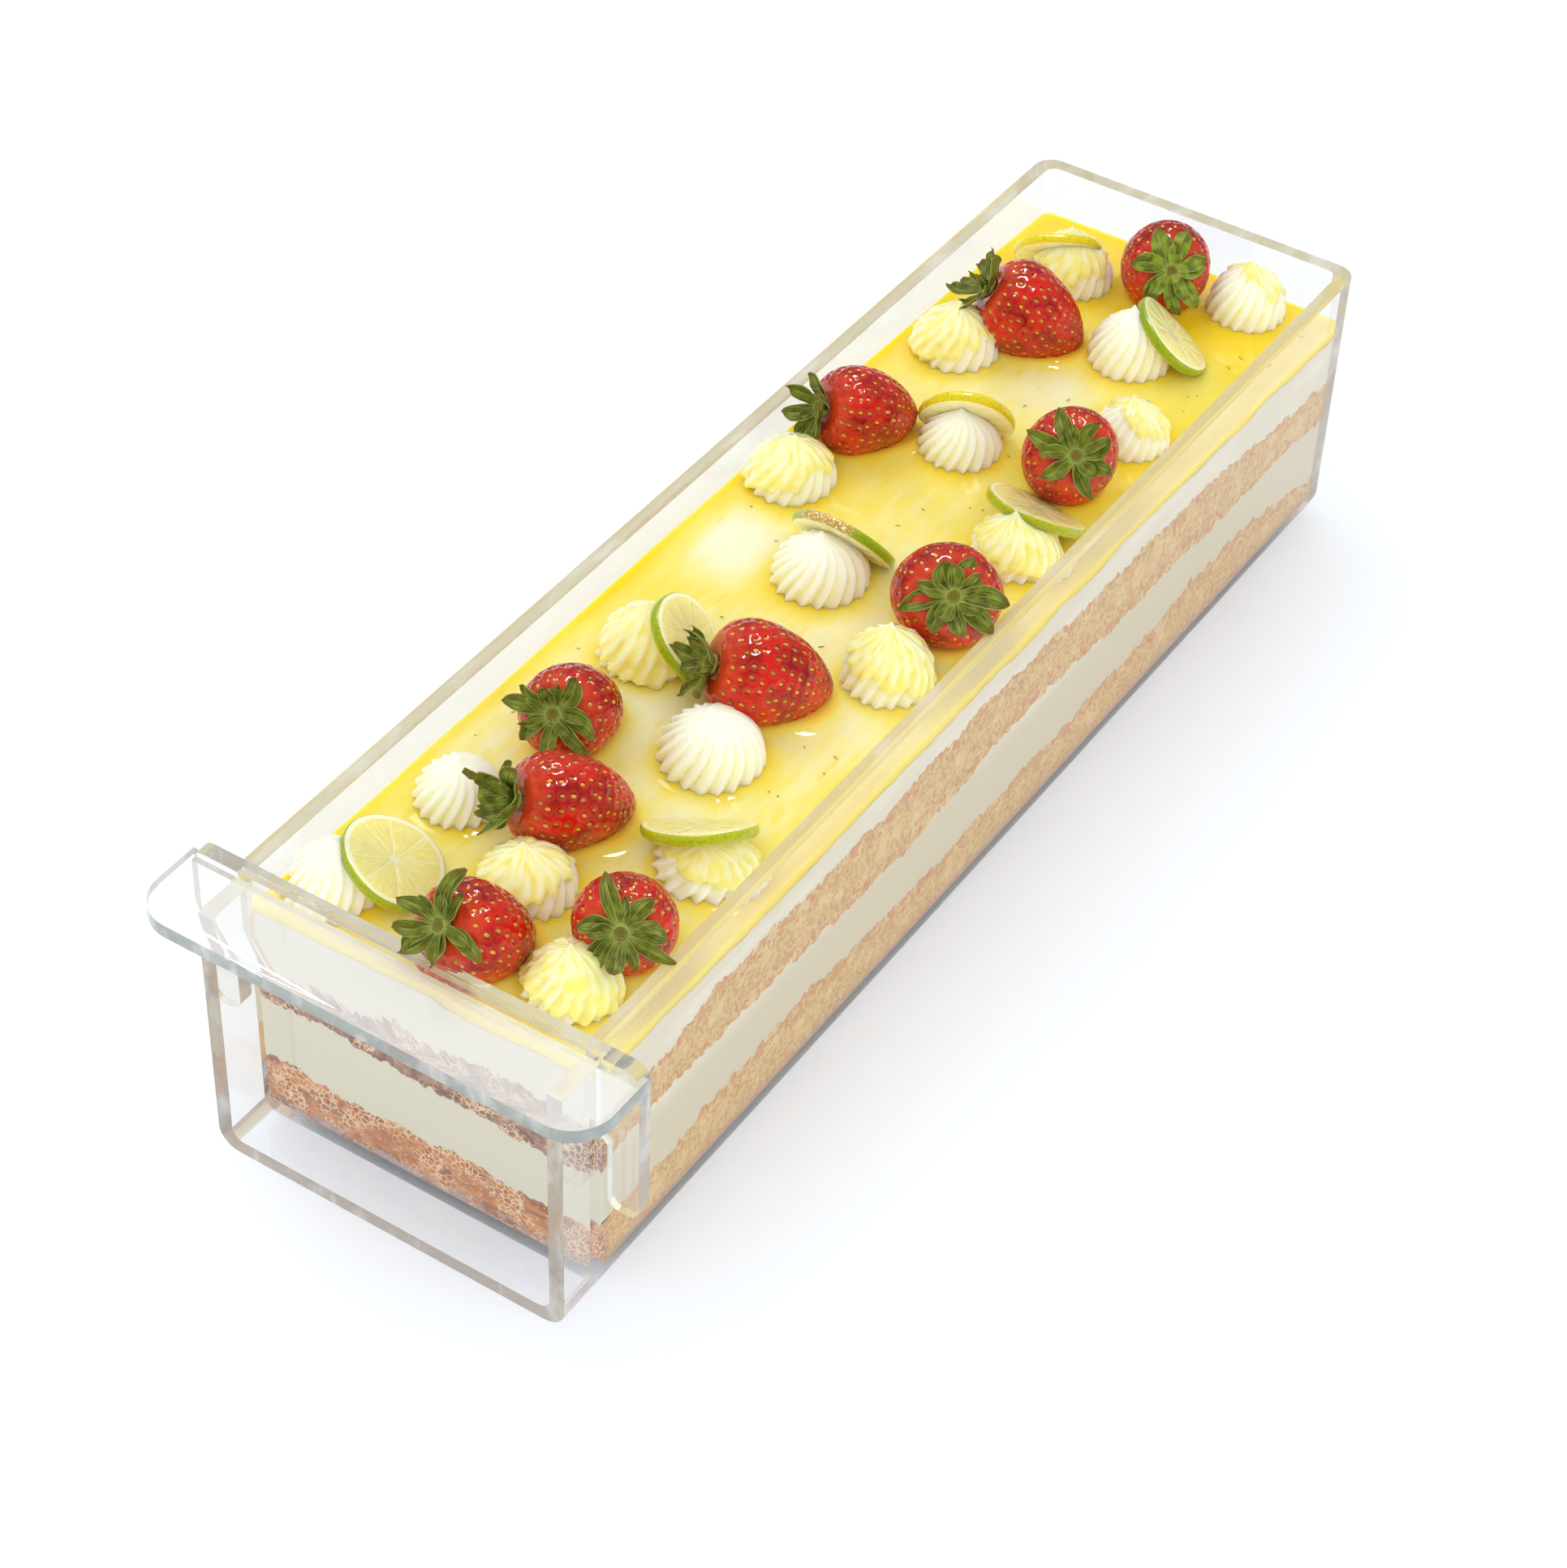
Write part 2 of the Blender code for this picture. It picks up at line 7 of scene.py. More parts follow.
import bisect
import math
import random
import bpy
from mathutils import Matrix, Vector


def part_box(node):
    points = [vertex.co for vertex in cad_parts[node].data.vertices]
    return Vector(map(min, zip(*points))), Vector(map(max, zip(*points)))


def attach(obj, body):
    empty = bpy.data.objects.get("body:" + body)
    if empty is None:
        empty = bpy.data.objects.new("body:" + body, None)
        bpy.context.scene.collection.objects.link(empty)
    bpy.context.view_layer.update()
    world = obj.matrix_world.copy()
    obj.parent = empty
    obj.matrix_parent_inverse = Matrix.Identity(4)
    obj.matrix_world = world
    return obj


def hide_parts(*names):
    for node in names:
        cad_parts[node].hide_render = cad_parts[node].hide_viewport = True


bl_info = {
    "name": "Lemon Cream Cake in a Clear Tray",
    "version": (1, 0, 0),
    "blender": (4, 5, 0),
    "location": "3D View > Sidebar > Cake",
    "description": "Models the cake's layers, glaze and toppings, its clear tray and a pale studio",
    "category": "Object",
}

from functools import partial

import bmesh
import bpy
from bpy.props import FloatProperty, FloatVectorProperty, IntProperty, PointerProperty
from mathutils import Matrix, Vector, noise

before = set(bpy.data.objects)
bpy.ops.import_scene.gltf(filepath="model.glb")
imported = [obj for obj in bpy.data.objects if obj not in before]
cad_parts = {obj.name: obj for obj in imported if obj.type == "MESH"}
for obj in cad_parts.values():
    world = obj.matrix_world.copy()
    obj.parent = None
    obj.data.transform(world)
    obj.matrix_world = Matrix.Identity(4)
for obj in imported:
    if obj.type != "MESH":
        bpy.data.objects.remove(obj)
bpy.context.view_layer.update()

MM = 0.001
BODY = "root"


def node_box(name):
    """A CAD node's lowest and highest corners in millimetres."""
    return tuple(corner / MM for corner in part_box(name))


TRAY_LOW, TRAY_HIGH = node_box("tray")
HANDLE_LOW, HANDLE_HIGH = node_box("handle")
SHEET = 5.0
ACRYLIC_IOR = 1.49
# The floor lies this far below the tray, so that the base mirrors as a sheet with air under it does.
UNDER_TRAY = 0.3
BACK_BAND = 13.0
TRAY_OUTER_BEND = 7.0
TRAY_INNER_BEND = 4.0
PANEL_SETBACK = 14.5
FIT = 0.3
SIDE = TRAY_HIGH.x
INSIDE = SIDE - SHEET
PANEL_FACE = TRAY_LOW.y + PANEL_SETBACK
CAVITY_FRONT = PANEL_FACE + SHEET
CAVITY_BACK = TRAY_HIGH.y - SHEET

LEDGE_BOTTOM = 89.0
LEDGE_THICK = 4.5
LEDGE_CORNER = 13.0
PLATE_HALF = 74.0
EAR_INNER = 64.0
EAR_BOTTOM = HANDLE_LOW.z
SHOULDER_BOTTOM = 64.0

GLAZE_THICK = 4.0
GLAZE_FRONT_TOP = node_box("glaze")[1].z
GLAZE_FALL = 6.2
GLAZE_LEVEL_TO = -24.5
GLAZE_RUN = 250.0

# Each kiss: x, y, diameter, height, the tip's lean along x and y, and how much glaze ran over it.
KISSES = (
    (-26.5, 192.0, 29.0, 21.0, -2.0, 1.5, 0.45),
    (30.0, 211.0, 27.0, 22.5, 0.0, 0.0, 0.40),
    (-35.5, 132.5, 30.0, 20.5, 0.5, -0.5, 0.75),
    (13.0, 161.5, 28.0, 23.0, 0.0, 0.0, 0.05),
    (35.5, 122.0, 25.5, 18.5, -0.5, 0.5, 0.50),
    (-40.0, 40.5, 29.0, 19.0, 1.0, 0.0, 0.75),
    (-6.0, 85.5, 27.0, 18.0, 0.0, -0.5, 0.05),
    (36.5, 48.0, 28.5, 18.5, -1.0, 0.0, 0.85),
    (-6.0, 4.5, 31.0, 20.0, 0.5, -1.0, 0.05),
    (-28.0, -56.0, 28.5, 22.0, 0.0, 0.5, 0.70),
    (35.5, -24.0, 28.0, 23.5, 0.5, 0.0, 0.80),
    (13.0, -82.0, 32.0, 21.0, -0.5, -0.5, 0.05),
    (-35.0, -137.0, 26.5, 18.0, 0.5, 0.0, 0.05),
    (37.0, -120.5, 30.0, 12.0, 0.0, 1.0, 0.65),
    (2.0, -155.5, 29.0, 18.0, -1.5, 0.5, 0.75),
    (-41.0, -184.5, 27.0, 18.5, -2.0, 0.5, 0.05),
    (34.5, -179.5, 28.0, 19.0, 0.0, -0.5, 0.90),
)

# Each berry: centre x, y, z, the azimuth and elevation its calyx points to, its diameter and length.
BERRIES = (
    (0.5, 205.5, 87.5, -54, 29, 30.0, 36.0),
    (-17.5, 151.0, 90.0, -150, 35, 30.0, 38.0),
    (-33.0, 74.0, 91.5, -125, 18, 29.0, 34.0),
    (29.5, 91.0, 91.5, -54, 37, 30.0, 36.0),
    (35.0, 8.0, 93.5, -51, 38, 32.0, 37.0),
    (13.5, -52.0, 93.0, -136, 22, 30.0, 38.0),
    (-24.5, -95.0, 92.0, -79, 34, 28.0, 36.0),
    (-2.0, -127.5, 92.5, -124, 21, 29.0, 37.0),
    (8.0, -183.0, 92.0, -105, 40, 29.0, 36.0),
    (36.0, -156.5, 92.0, -61, 32, 28.0, 35.0),
)

# Each slice: centre x, y, z, the azimuth and elevation of its face, its diameter, how yellow its rind is,
# and the angle in degrees of a corky scar on the rind, or None.
LIMES = (
    (-32.5, 193.0, 86.0, -57, -33, 30.0, 0.9, None),
    (23.0, 169.5, 88.5, 39, 46, 31.0, 0.1, None),
    (-7.5, 92.0, 90.0, -67, -32, 31.0, 0.8, None),
    (34.5, 62.5, 90.0, 78, 58, 33.0, 0.3, None),
    (-5.0, 15.5, 91.5, -89, -38, 34.0, 0.1, 184),
    (-15.0, -53.0, 93.5, 24, 39, 30.0, 0.2, None),
    (-29.5, -174.0, 90.5, 22, 61, 31.0, 0.2, None),
    (32.5, -117.0, 92.0, 126, 55, 33.0, 0.3, None),
)


def linear(code):
    """Linear red, green and blue of an sRGB hex colour."""
    shares = [int(code[start:start + 2], 16) / 255 for start in (1, 3, 5)]
    return tuple(c / 12.92 if c <= 0.04045 else ((c + 0.055) / 1.055) ** 2.4 for c in shares)


def colour_prop(name, code, description):
    return FloatVectorProperty(
        name=name, description=description, subtype="COLOR", size=3, min=0, max=1, default=linear(code)
    )


def length_prop(name, millimetres, description):
    return FloatProperty(name=name, description=description, unit="LENGTH", min=0, default=millimetres * MM)


def power_prop(name, watts, description):
    return FloatProperty(name=name, description=description, unit="POWER", min=0, default=watts)


class TraySettings(bpy.types.PropertyGroup):
    tint: colour_prop("Acrylic tint", "#F9F9F7", "Colour that one face of the clear sheet gives")
    smeared_tint: colour_prop("Smeared rim tint", "#EBDFA4", "The right rim, where glaze was wiped off it")
    rim_tint: colour_prop("Rim tint", "#D6CFB4", "Beige of the sawn rims that face up")
    # Partly painted shade: the upright edges' grey brown also stands for the dark floor seen through them.
    edge_tint: colour_prop("Edge tint", "#B2A798", "Grey brown of the sawn edges that stand upright")
    ledge_tint: colour_prop("Ledge edge tint", "#919A96", "Green grey of the ledge's flamed edge")
    bend_tint: colour_prop("Bend tint", "#CDB08C", "Sponge seen through the bend at the tray's foot")
    # Painted shade: the shaded floor under the tray, as the bend's foot shows it.
    foot_shade_tint: colour_prop("Foot tint", "#6E6A68", "Grey line where the sheet turns under")
    scuffed_tint: colour_prop("Scuffed tint", "#F0F6FF", "The scuffed underside of the tray")
    polish: length_prop("Polished edge", 0.6, "Width of the buffed edge of the sheet")
    haze: FloatProperty(
        name="Haze", description="Roughness of the buffed surface", subtype="FACTOR", min=0, max=1, default=0.01
    )


class SpongeSettings(bpy.types.PropertyGroup):
    crumb: colour_prop("Crumb", "#D6B36C", "Pale inside of the baked sponge")
    toasted: colour_prop("Toasted edge", "#CC8B48", "Browned skin and edges of the sponge")
    soaked: colour_prop("Soaked end", "#B0662C", "Sponge that has drawn up syrup at the front")
    dark_end: colour_prop("Dark end", "#74432E", "Front of the upper sponge, wet and in shade")
    damp: colour_prop("Damp foot", "#BC9078", "Foot of the lower sponge, wet through against the acrylic")
    speck: colour_prop("Brown speck", "#C07838", "Small clots on the crumb's skin")
    bright_soaked: colour_prop("Bright soaked", "#CF9056", "Lighter spots of the soaked lower end")
    bright_dark: colour_prop("Bright dark end", "#B58A72", "Lighter spots of the dark upper end")
    streak: colour_prop("Syrup streak", "#7E4A30", "Brown streaks of syrup at the front")
    bubble: colour_prop("Bubble wall", "#E2BE96", "Pale walls between the bubbles pressed to the front")
    pore: colour_prop("Open pore", "#EBD0AE", "Pale open pores at the front")
    skin_foot: colour_prop("Skin at the foot", "#A8948E", "Wet skin low on the front")
    # underside: painted light, a pale crumb where the sponge lies in shade on the tray's floor.
    underside: colour_prop("Underside", "#E9E2DC", "The crumb against the tray's floor")
    ragged: length_prop("Ragged edge", 2.0, "How far the crumb's outline wanders into the cream")


class CreamSettings(bpy.types.PropertyGroup):
    cream: colour_prop("Cream", "#E4DCC4", "Whipped cream pressed against the wall")
    shade: colour_prop("Cream in the smears", "#DCD2B7", "Where the knife pressed the cream thin")
    low: colour_prop("Lower cream", "#D0C4A3", "The lower layer, wetter and less airy")
    # front: painted shade, the cream behind the front panel darkened for the ledge's shadow above it.
    front: colour_prop("Cream at the front", "#D2CBB3", "Denser cream behind the front panel")


class GlazeSettings(bpy.types.PropertyGroup):
    pale: colour_prop("Thin glaze", "#FFF3CC", "Cream that shows through a thin coat")
    lemon: colour_prop("Lemon glaze", "#FEE26C", "The usual coat")
    # deep: pooled glaze, which round the toppings also serves as painted shade.
    deep: colour_prop("Pooled glaze", "#FFD21E", "Where it pools against walls and toppings")
    # Painted light: the red berry's orange glow through the thin glaze where it climbs each strawberry.
    amber: colour_prop("Amber rim", "#E8A03C", "Where it has drawn juice from a strawberry")
    zest: colour_prop("Zest", "#9A9A20", "Fresh flecks of zest")
    brown_zest: colour_prop("Brown zest", "#B8962A", "Flecks that have turned")
    zest_count: IntProperty(name="Zest flecks", description="Flecks of zest in the glaze", min=0, default=48)


class KissSettings(bpy.types.PropertyGroup):
    cream: colour_prop("Piped cream", "#FFFCDE", "The cream of the kisses")
    film: colour_prop("Glaze film", "#FCF4C2", "Thin glaze that ran over a kiss")
    run: colour_prop("Glaze run", "#F8E980", "Thicker glaze in the grooves and at the lip of the film")
    ridges: IntProperty(name="Ridges", description="Teeth of the piping tip", min=5, default=18)
    depth: FloatProperty(
        name="Ridge depth", description="Depth as a share of the radius", subtype="FACTOR", min=0, max=0.4,
        default=0.17,
    )
    twist: FloatProperty(
        name="Twist", description="Turn of the ridges from foot to tip", subtype="ANGLE",
        default=math.radians(52),
    )


class StrawberrySettings(bpy.types.PropertyGroup):
    red: colour_prop("Ripe red", "#8C0705", "The ripe flesh under the glaze")
    bright: colour_prop("Bright red", "#CC1608", "Where the flesh is thinner and lighter")
    shoulder: colour_prop("Shoulder", "#D0421E", "The paler ring under the leaves")
    seed: colour_prop("Seed", "#E8A22E", "The dry seeds in their dimples")
    seed_rows: IntProperty(name="Seed rows", description="Rows of seeds from end to end", min=4, default=17)
    row_seeds: IntProperty(name="Seeds in a row", description="Seeds round the widest row", min=6, default=21)


class CalyxSettings(bpy.types.PropertyGroup):
    leaf: colour_prop("Leaf", "#5C5C12", "The green of the leaves")
    fresh_leaf: colour_prop("Fresh leaf", "#8AA428", "The brighter green of the youngest leaves")
    vein: colour_prop("Vein", "#AAB45C", "The paler veins, margin and leaf foot")
    tip: colour_prop("Dry tip", "#7A6A2E", "Brown at the leaf's point and round the stem")
    leaf_length: length_prop("Leaf length", 14.0, "From the stem to the leaf's point")
    leaf_width: length_prop("Leaf width", 5.6, "At the widest place")


class LimeSettings(bpy.types.PropertyGroup):
    rind: colour_prop("Rind", "#7E9A12", "Green rind of the lime")
    ripe_rind: colour_prop("Ripe rind", "#E2C81C", "Rind that has turned yellow")
    pith: colour_prop("Pith", "#F6EFC4", "White ring and walls between the segments")
    flesh: colour_prop("Flesh", "#ECE29A", "Juicy segments")
    cork: colour_prop("Cork", "#B0924A", "The corky scar on a rind")
    pale_cork: colour_prop("Pale cork", "#EFE4BC", "The scar's lighter grain")
    thickness: length_prop("Slice", 3.2, "How thick the slices are cut")
    segments: IntProperty(name="Segments", description="Segments in a slice", min=6, default=10)


class StudioSettings(bpy.types.PropertyGroup):
    floor: colour_prop("Floor", "#F1F5FA", "The pale sweep under the cake")
    key_watts: power_prop("Key", 2, "Wide soft light from the left")
    back_watts: power_prop("Back", 0.8, "Soft light from behind")
    fill_watts: power_prop("Fill", 5, "Wide soft light beside the camera")
    glint: FloatProperty(
        name="Glints", description="Watts a square metre of boxes seen only in wet surfaces", min=0, default=75
    )
    mirrored_room: FloatProperty(
        name="Mirrored room", description="Brightness of the room as gloss mirrors it", min=0, default=0.3
    )
    sky: FloatProperty(name="Sky", description="Brightness of the white surroundings", min=0, default=1.13)


def smooth_step(low, high, value):
    """0 at low, 1 at high, with a soft start and end."""
    share = min(max((value - low) / (high - low), 0.0), 1.0)
    return share * share * (3 - 2 * share)


def mix(one, other, share):
    return one + (other - one) * share


def swell(y, crest, length):
    """A long wave along the cake, 1 at its crest."""
    return math.cos(2 * math.pi * (y - crest) / length)


def glaze_top(y):
    """The poured surface: level over the front half, then falling to the back."""
    share = min(max((y - GLAZE_LEVEL_TO) / GLAZE_RUN, 0.0), 1.0)
    return GLAZE_FRONT_TOP - GLAZE_FALL * share * share


def lower_sponge_top(y):
    return 25.3 + 1.8 * swell(y, -105, 255) + 1.2 * swell(y, -105, 125) - 9 * smooth_step(160, 225, y)


def upper_sponge_bottom(y):
    return 47 + 2.3 * swell(y, 20, 150) + 4 * smooth_step(140, 180, -y) - 6 * smooth_step(110, 160, y)


def upper_sponge_top(y):
    back_drop = 15 * max((y - 20) / 205, 0.0) ** 2
    return 69.5 + 0.8 * swell(y, -130, 130) - 6 * smooth_step(145, 185, -y) - back_drop


def waver(x, y, z, size, seed=0.0):
    """Soft noise from about -1 to 1 whose bumps are about this many millimetres across."""
    return noise.noise(Vector((x / size + seed, y / size - seed, z / size + 2 * seed)))


def smooth_outline(points, count):
    """An even number of points along a smooth curve through the given (u, v) points."""
    padded = [points[0], *points, points[-1]]
    spans = len(points) - 1
    made = []
    for index in range(count):
        place = spans * index / (count - 1)
        span = min(int(place), spans - 1)
        t = place - span
        a, b, c, d = (Vector(point) for point in padded[span:span + 4])
        square, cube = 2 * a - 5 * b + 4 * c - d, 3 * b - a - 3 * c + d
        made.append(0.5 * (2 * b + (c - a) * t + square * t * t + cube * t ** 3))
    return made


def evenly_spaced(points, count):
    """The same number of millimetres between each two of count points along a line of points."""
    runs = [0.0]
    for one, other in zip(points, points[1:]):
        runs.append(runs[-1] + (other - one).length)
    made = []
    for index in range(count):
        run = runs[-1] * index / (count - 1)
        after = min(max(bisect.bisect_left(runs, run), 1), len(points) - 1)
        share = (run - runs[after - 1]) / (runs[after] - runs[after - 1])
        made.append(points[after - 1].lerp(points[after], share))
    return made


def facing(azimuth, elevation):
    """The turn that takes +Z to the given direction."""
    across = Matrix.Rotation(math.radians(90 - elevation), 3, "Y")
    return Matrix.Rotation(math.radians(azimuth), 3, "Z") @ across


def placed(x, y, z, azimuth, elevation):
    return Matrix.Translation((x, y, z)) @ facing(azimuth, elevation).to_4x4()


def spun(outline, steps):
    """A surface turned about Z from (radius, height) points."""
    bm = bmesh.new()
    verts = [bm.verts.new((radius, 0, height)) for radius, height in outline]
    edges = [bm.edges.new(pair) for pair in zip(verts, verts[1:])]
    bmesh.ops.spin(
        bm, geom=verts + edges, cent=(0, 0, 0), axis=(0, 0, 1), angle=2 * math.pi, steps=steps, use_merge=True
    )
    bmesh.ops.remove_doubles(bm, verts=bm.verts, dist=1e-3)
    bmesh.ops.recalc_face_normals(bm, faces=bm.faces)
    return bm


def gathered(parts):
    """One bmesh that holds all the given ones."""
    joined = bmesh.new()
    for part in parts:
        mesh = bpy.data.meshes.new("part")
        part.to_mesh(mesh)
        part.free()
        joined.from_mesh(mesh)
        bpy.data.meshes.remove(mesh)
    return joined


def block(low, high, is_bent=None, bend=0.0, segments=10):
    """A box whose edges that is_bent picks are rounded."""
    bm = bmesh.new()
    bmesh.ops.create_cube(bm, size=1)
    low, high = Vector(low), Vector(high)
    place = Matrix.Translation((low + high) / 2) @ Matrix.Diagonal((*(high - low), 1))
    bmesh.ops.transform(bm, matrix=place, verts=bm.verts)
    if is_bent:
        edges = [edge for edge in bm.edges if is_bent(*(vert.co for vert in edge.verts))]
        bmesh.ops.bevel(
            bm, geom=edges, offset=bend, offset_type="OFFSET", segments=segments, profile=0.5, affect="EDGES",
            material=-1,
        )
    return bm


def plain_object(name, bm):
    """An object that holds the bmesh, with its faces turned outwards."""
    bmesh.ops.recalc_face_normals(bm, faces=bm.faces)
    mesh = bpy.data.meshes.new(name)
    bm.to_mesh(mesh)
    bm.free()
    obj = bpy.data.objects.new(name, mesh)
    bpy.context.scene.collection.objects.link(obj)
    return obj


def bake_modifiers(obj):
    """Puts the result of the object's modifiers into its mesh."""
    bpy.context.view_layer.update()
    graph = bpy.context.evaluated_depsgraph_get()
    result = bpy.data.meshes.new_from_object(obj.evaluated_get(graph))
    obj.modifiers.clear()
    before = obj.data
    obj.data = result
    bpy.data.meshes.remove(before)


def boolean(obj, bm, operation):
    """Joins or cuts obj with the shape in the bmesh."""
    other = plain_object("helper", bm)
    modifier = obj.modifiers.new(operation, "BOOLEAN")
    modifier.operation = operation
    modifier.solver = "EXACT"
    modifier.object = other
    bake_modifiers(obj)
    bpy.data.objects.remove(other)


def finish_piece(obj, material, nodes=(), sharp=60):
    """Turns a modelled object to metres, gives it its material and hangs it on the cake's one body."""
    obj.data.transform(Matrix.Scale(MM, 4))
    obj.data.materials.clear()
    obj.data.materials.append(material)
    if sharp:
        obj.data.shade_smooth()
        obj.data.set_sharp_from_angle(angle=math.radians(sharp))
    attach(obj, BODY)
    if nodes:
        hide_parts(*nodes)


def numbered(stem, count):
    return [f"{stem}_{index:02d}" for index in range(1, count + 1)]


# By kind of node: the inputs its values go to where they aren't the first ones, the output that is used where
# it isn't the first, and the settings that all its nodes share.
INPUTS = {"Mix": (0, 6, 7), "TexNoise": (0, 2, 3, 4), "TexVoronoi": (0, 2), "Mapping": (0, 3)}
OUTPUTS = {"Mix": 2, "Attribute": 2}
SHARED = {"Mix": {"data_type": "RGBA"}, "MapRange": {"interpolation_type": "SMOOTHSTEP"}}


def fill(tree, node, inputs):
    """Sets each input to a value, or links it to another node's output."""
    for key, value in inputs.items():
        socket = node.inputs[key]
        if isinstance(value, bpy.types.NodeSocket):
            tree.links.new(value, socket)
        else:
            socket.default_value = (*value, 1) if socket.type == "RGBA" else value


def add_node(tree, kind, *values, out=None, **settings):
    """Adds a node and returns one output. Its values come in order or by name.

    A kind in capitals is the operation of a Math node.
    """
    if kind.isupper():
        kind, settings = "Math", {"operation": kind, **settings}
    node = tree.nodes.new("ShaderNode" + kind)
    for name, value in {**SHARED.get(kind, {}), **settings}.items():
        setattr(node, name, value)
    by_name = values and isinstance(values[0], dict)
    fill(tree, node, values[0] if by_name else dict(zip(INPUTS.get(kind, range(9)), values)))
    return node.outputs[out or OUTPUTS.get(kind, 0)]


def start_material(name):
    """A new material, what adds nodes to its tree, and what fills its Principled shader."""
    material = bpy.data.materials.new(name)
    material.use_nodes = True
    tree = material.node_tree
    return material, partial(add_node, tree), partial(fill, tree, tree.nodes["Principled BSDF"])


def layered(add, colour, *layers):
    """A colour with others laid over it, each by its share."""
    for share, over in layers:
        colour = add("Mix", share, colour, over)
    return colour


def tinted(colour, *shares):
    """The colour with each channel times its share. One share stands for all three."""
    return tuple(min(channel * share, 1) for channel, share in zip(colour, shares * (3 // len(shares))))


def per_size(millimetres):
    """The noise scale on Object coordinates that gives features of this size."""
    return 1 / (millimetres * MM)


def let_light_through(material, add, colour):
    """Light from lamps and from other surfaces passes the sheet unbent, so it throws no dark shadow."""
    tree = material.node_tree
    path = add("LightPath").node.outputs
    open_air = add("BsdfTransparent", colour)
    surface = tree.nodes["Principled BSDF"].outputs["BSDF"]
    for kind in ("Is Diffuse Ray", "Is Shadow Ray"):
        surface = add("MixShader", path[kind], surface, open_air)
    tree.links.new(surface, tree.nodes["Material Output"].inputs["Surface"])


def clear_acrylic(settings, name, clarity, tint=None):
    """Cast acrylic sheet with a trace of haze. Clarity is the share of light that goes through it.

    The scuffed and rubbed faces have less clarity, and the scuffed one its own tint.
    """
    material, add, finish = start_material(name)
    finish({
        "Base Color": tint or settings.tint,
        "Roughness": settings.haze,
        "IOR": ACRYLIC_IOR,
        "Transmission Weight": clarity,
    })
    let_light_through(material, add, (0.98, 0.98, 0.98))
    return material


def sawn_acrylic(settings):
    """Sawn and flamed edges, half clear: beige where they face up and grey where they stand.

    Where the sheet turns under, the bend shows the sponge's tone, with a line of painted shade at its foot.
    The grey brown of the standing edges is partly painted shade of the dark floor seen through them.
    """
    material, add, finish = start_material("sawn_acrylic_edge")
    up = add("SeparateXYZ", add("TexCoord", out="Normal"), out="Z")
    place = add("TexCoord", out="Object")
    x, y, z = add("SeparateXYZ", place).node.outputs
    is_right = add("MULTIPLY", add("MapRange", x, 0.0, 0.01), add("MapRange", y, 0.226, 0.220))
    is_ledge = add("MULTIPLY", add("MapRange", z, 0.082, 0.087), add("MapRange", y, -0.19, -0.2))
    smear = add("TexNoise", add("Mapping", place, (1.0, 0.3, 0.5)), per_size(7.0), 3.0, 0.5)
    # Painted shade: partly in the standing edges' grey brown, wholly in the grey foot line.
    tone = layered(
        add, settings.edge_tint,
        (is_ledge, settings.ledge_tint),
        (add("MapRange", up, 0.4, 0.8), add("Mix", is_right, settings.rim_tint, settings.smeared_tint)),
        (add("MapRange", up, -0.02, -0.06), settings.bend_tint),
        (add("MapRange", up, -0.42, -0.46), settings.foot_shade_tint),
        (add("MapRange", smear, 0.45, 0.75, 0.0, 0.5), settings.tint),
    )
    finish({"Base Color": tone, "Roughness": 0.08, "IOR": ACRYLIC_IOR, "Transmission Weight": 0.45})
    let_light_through(material, add, (0.95, 0.95, 0.94))
    return material


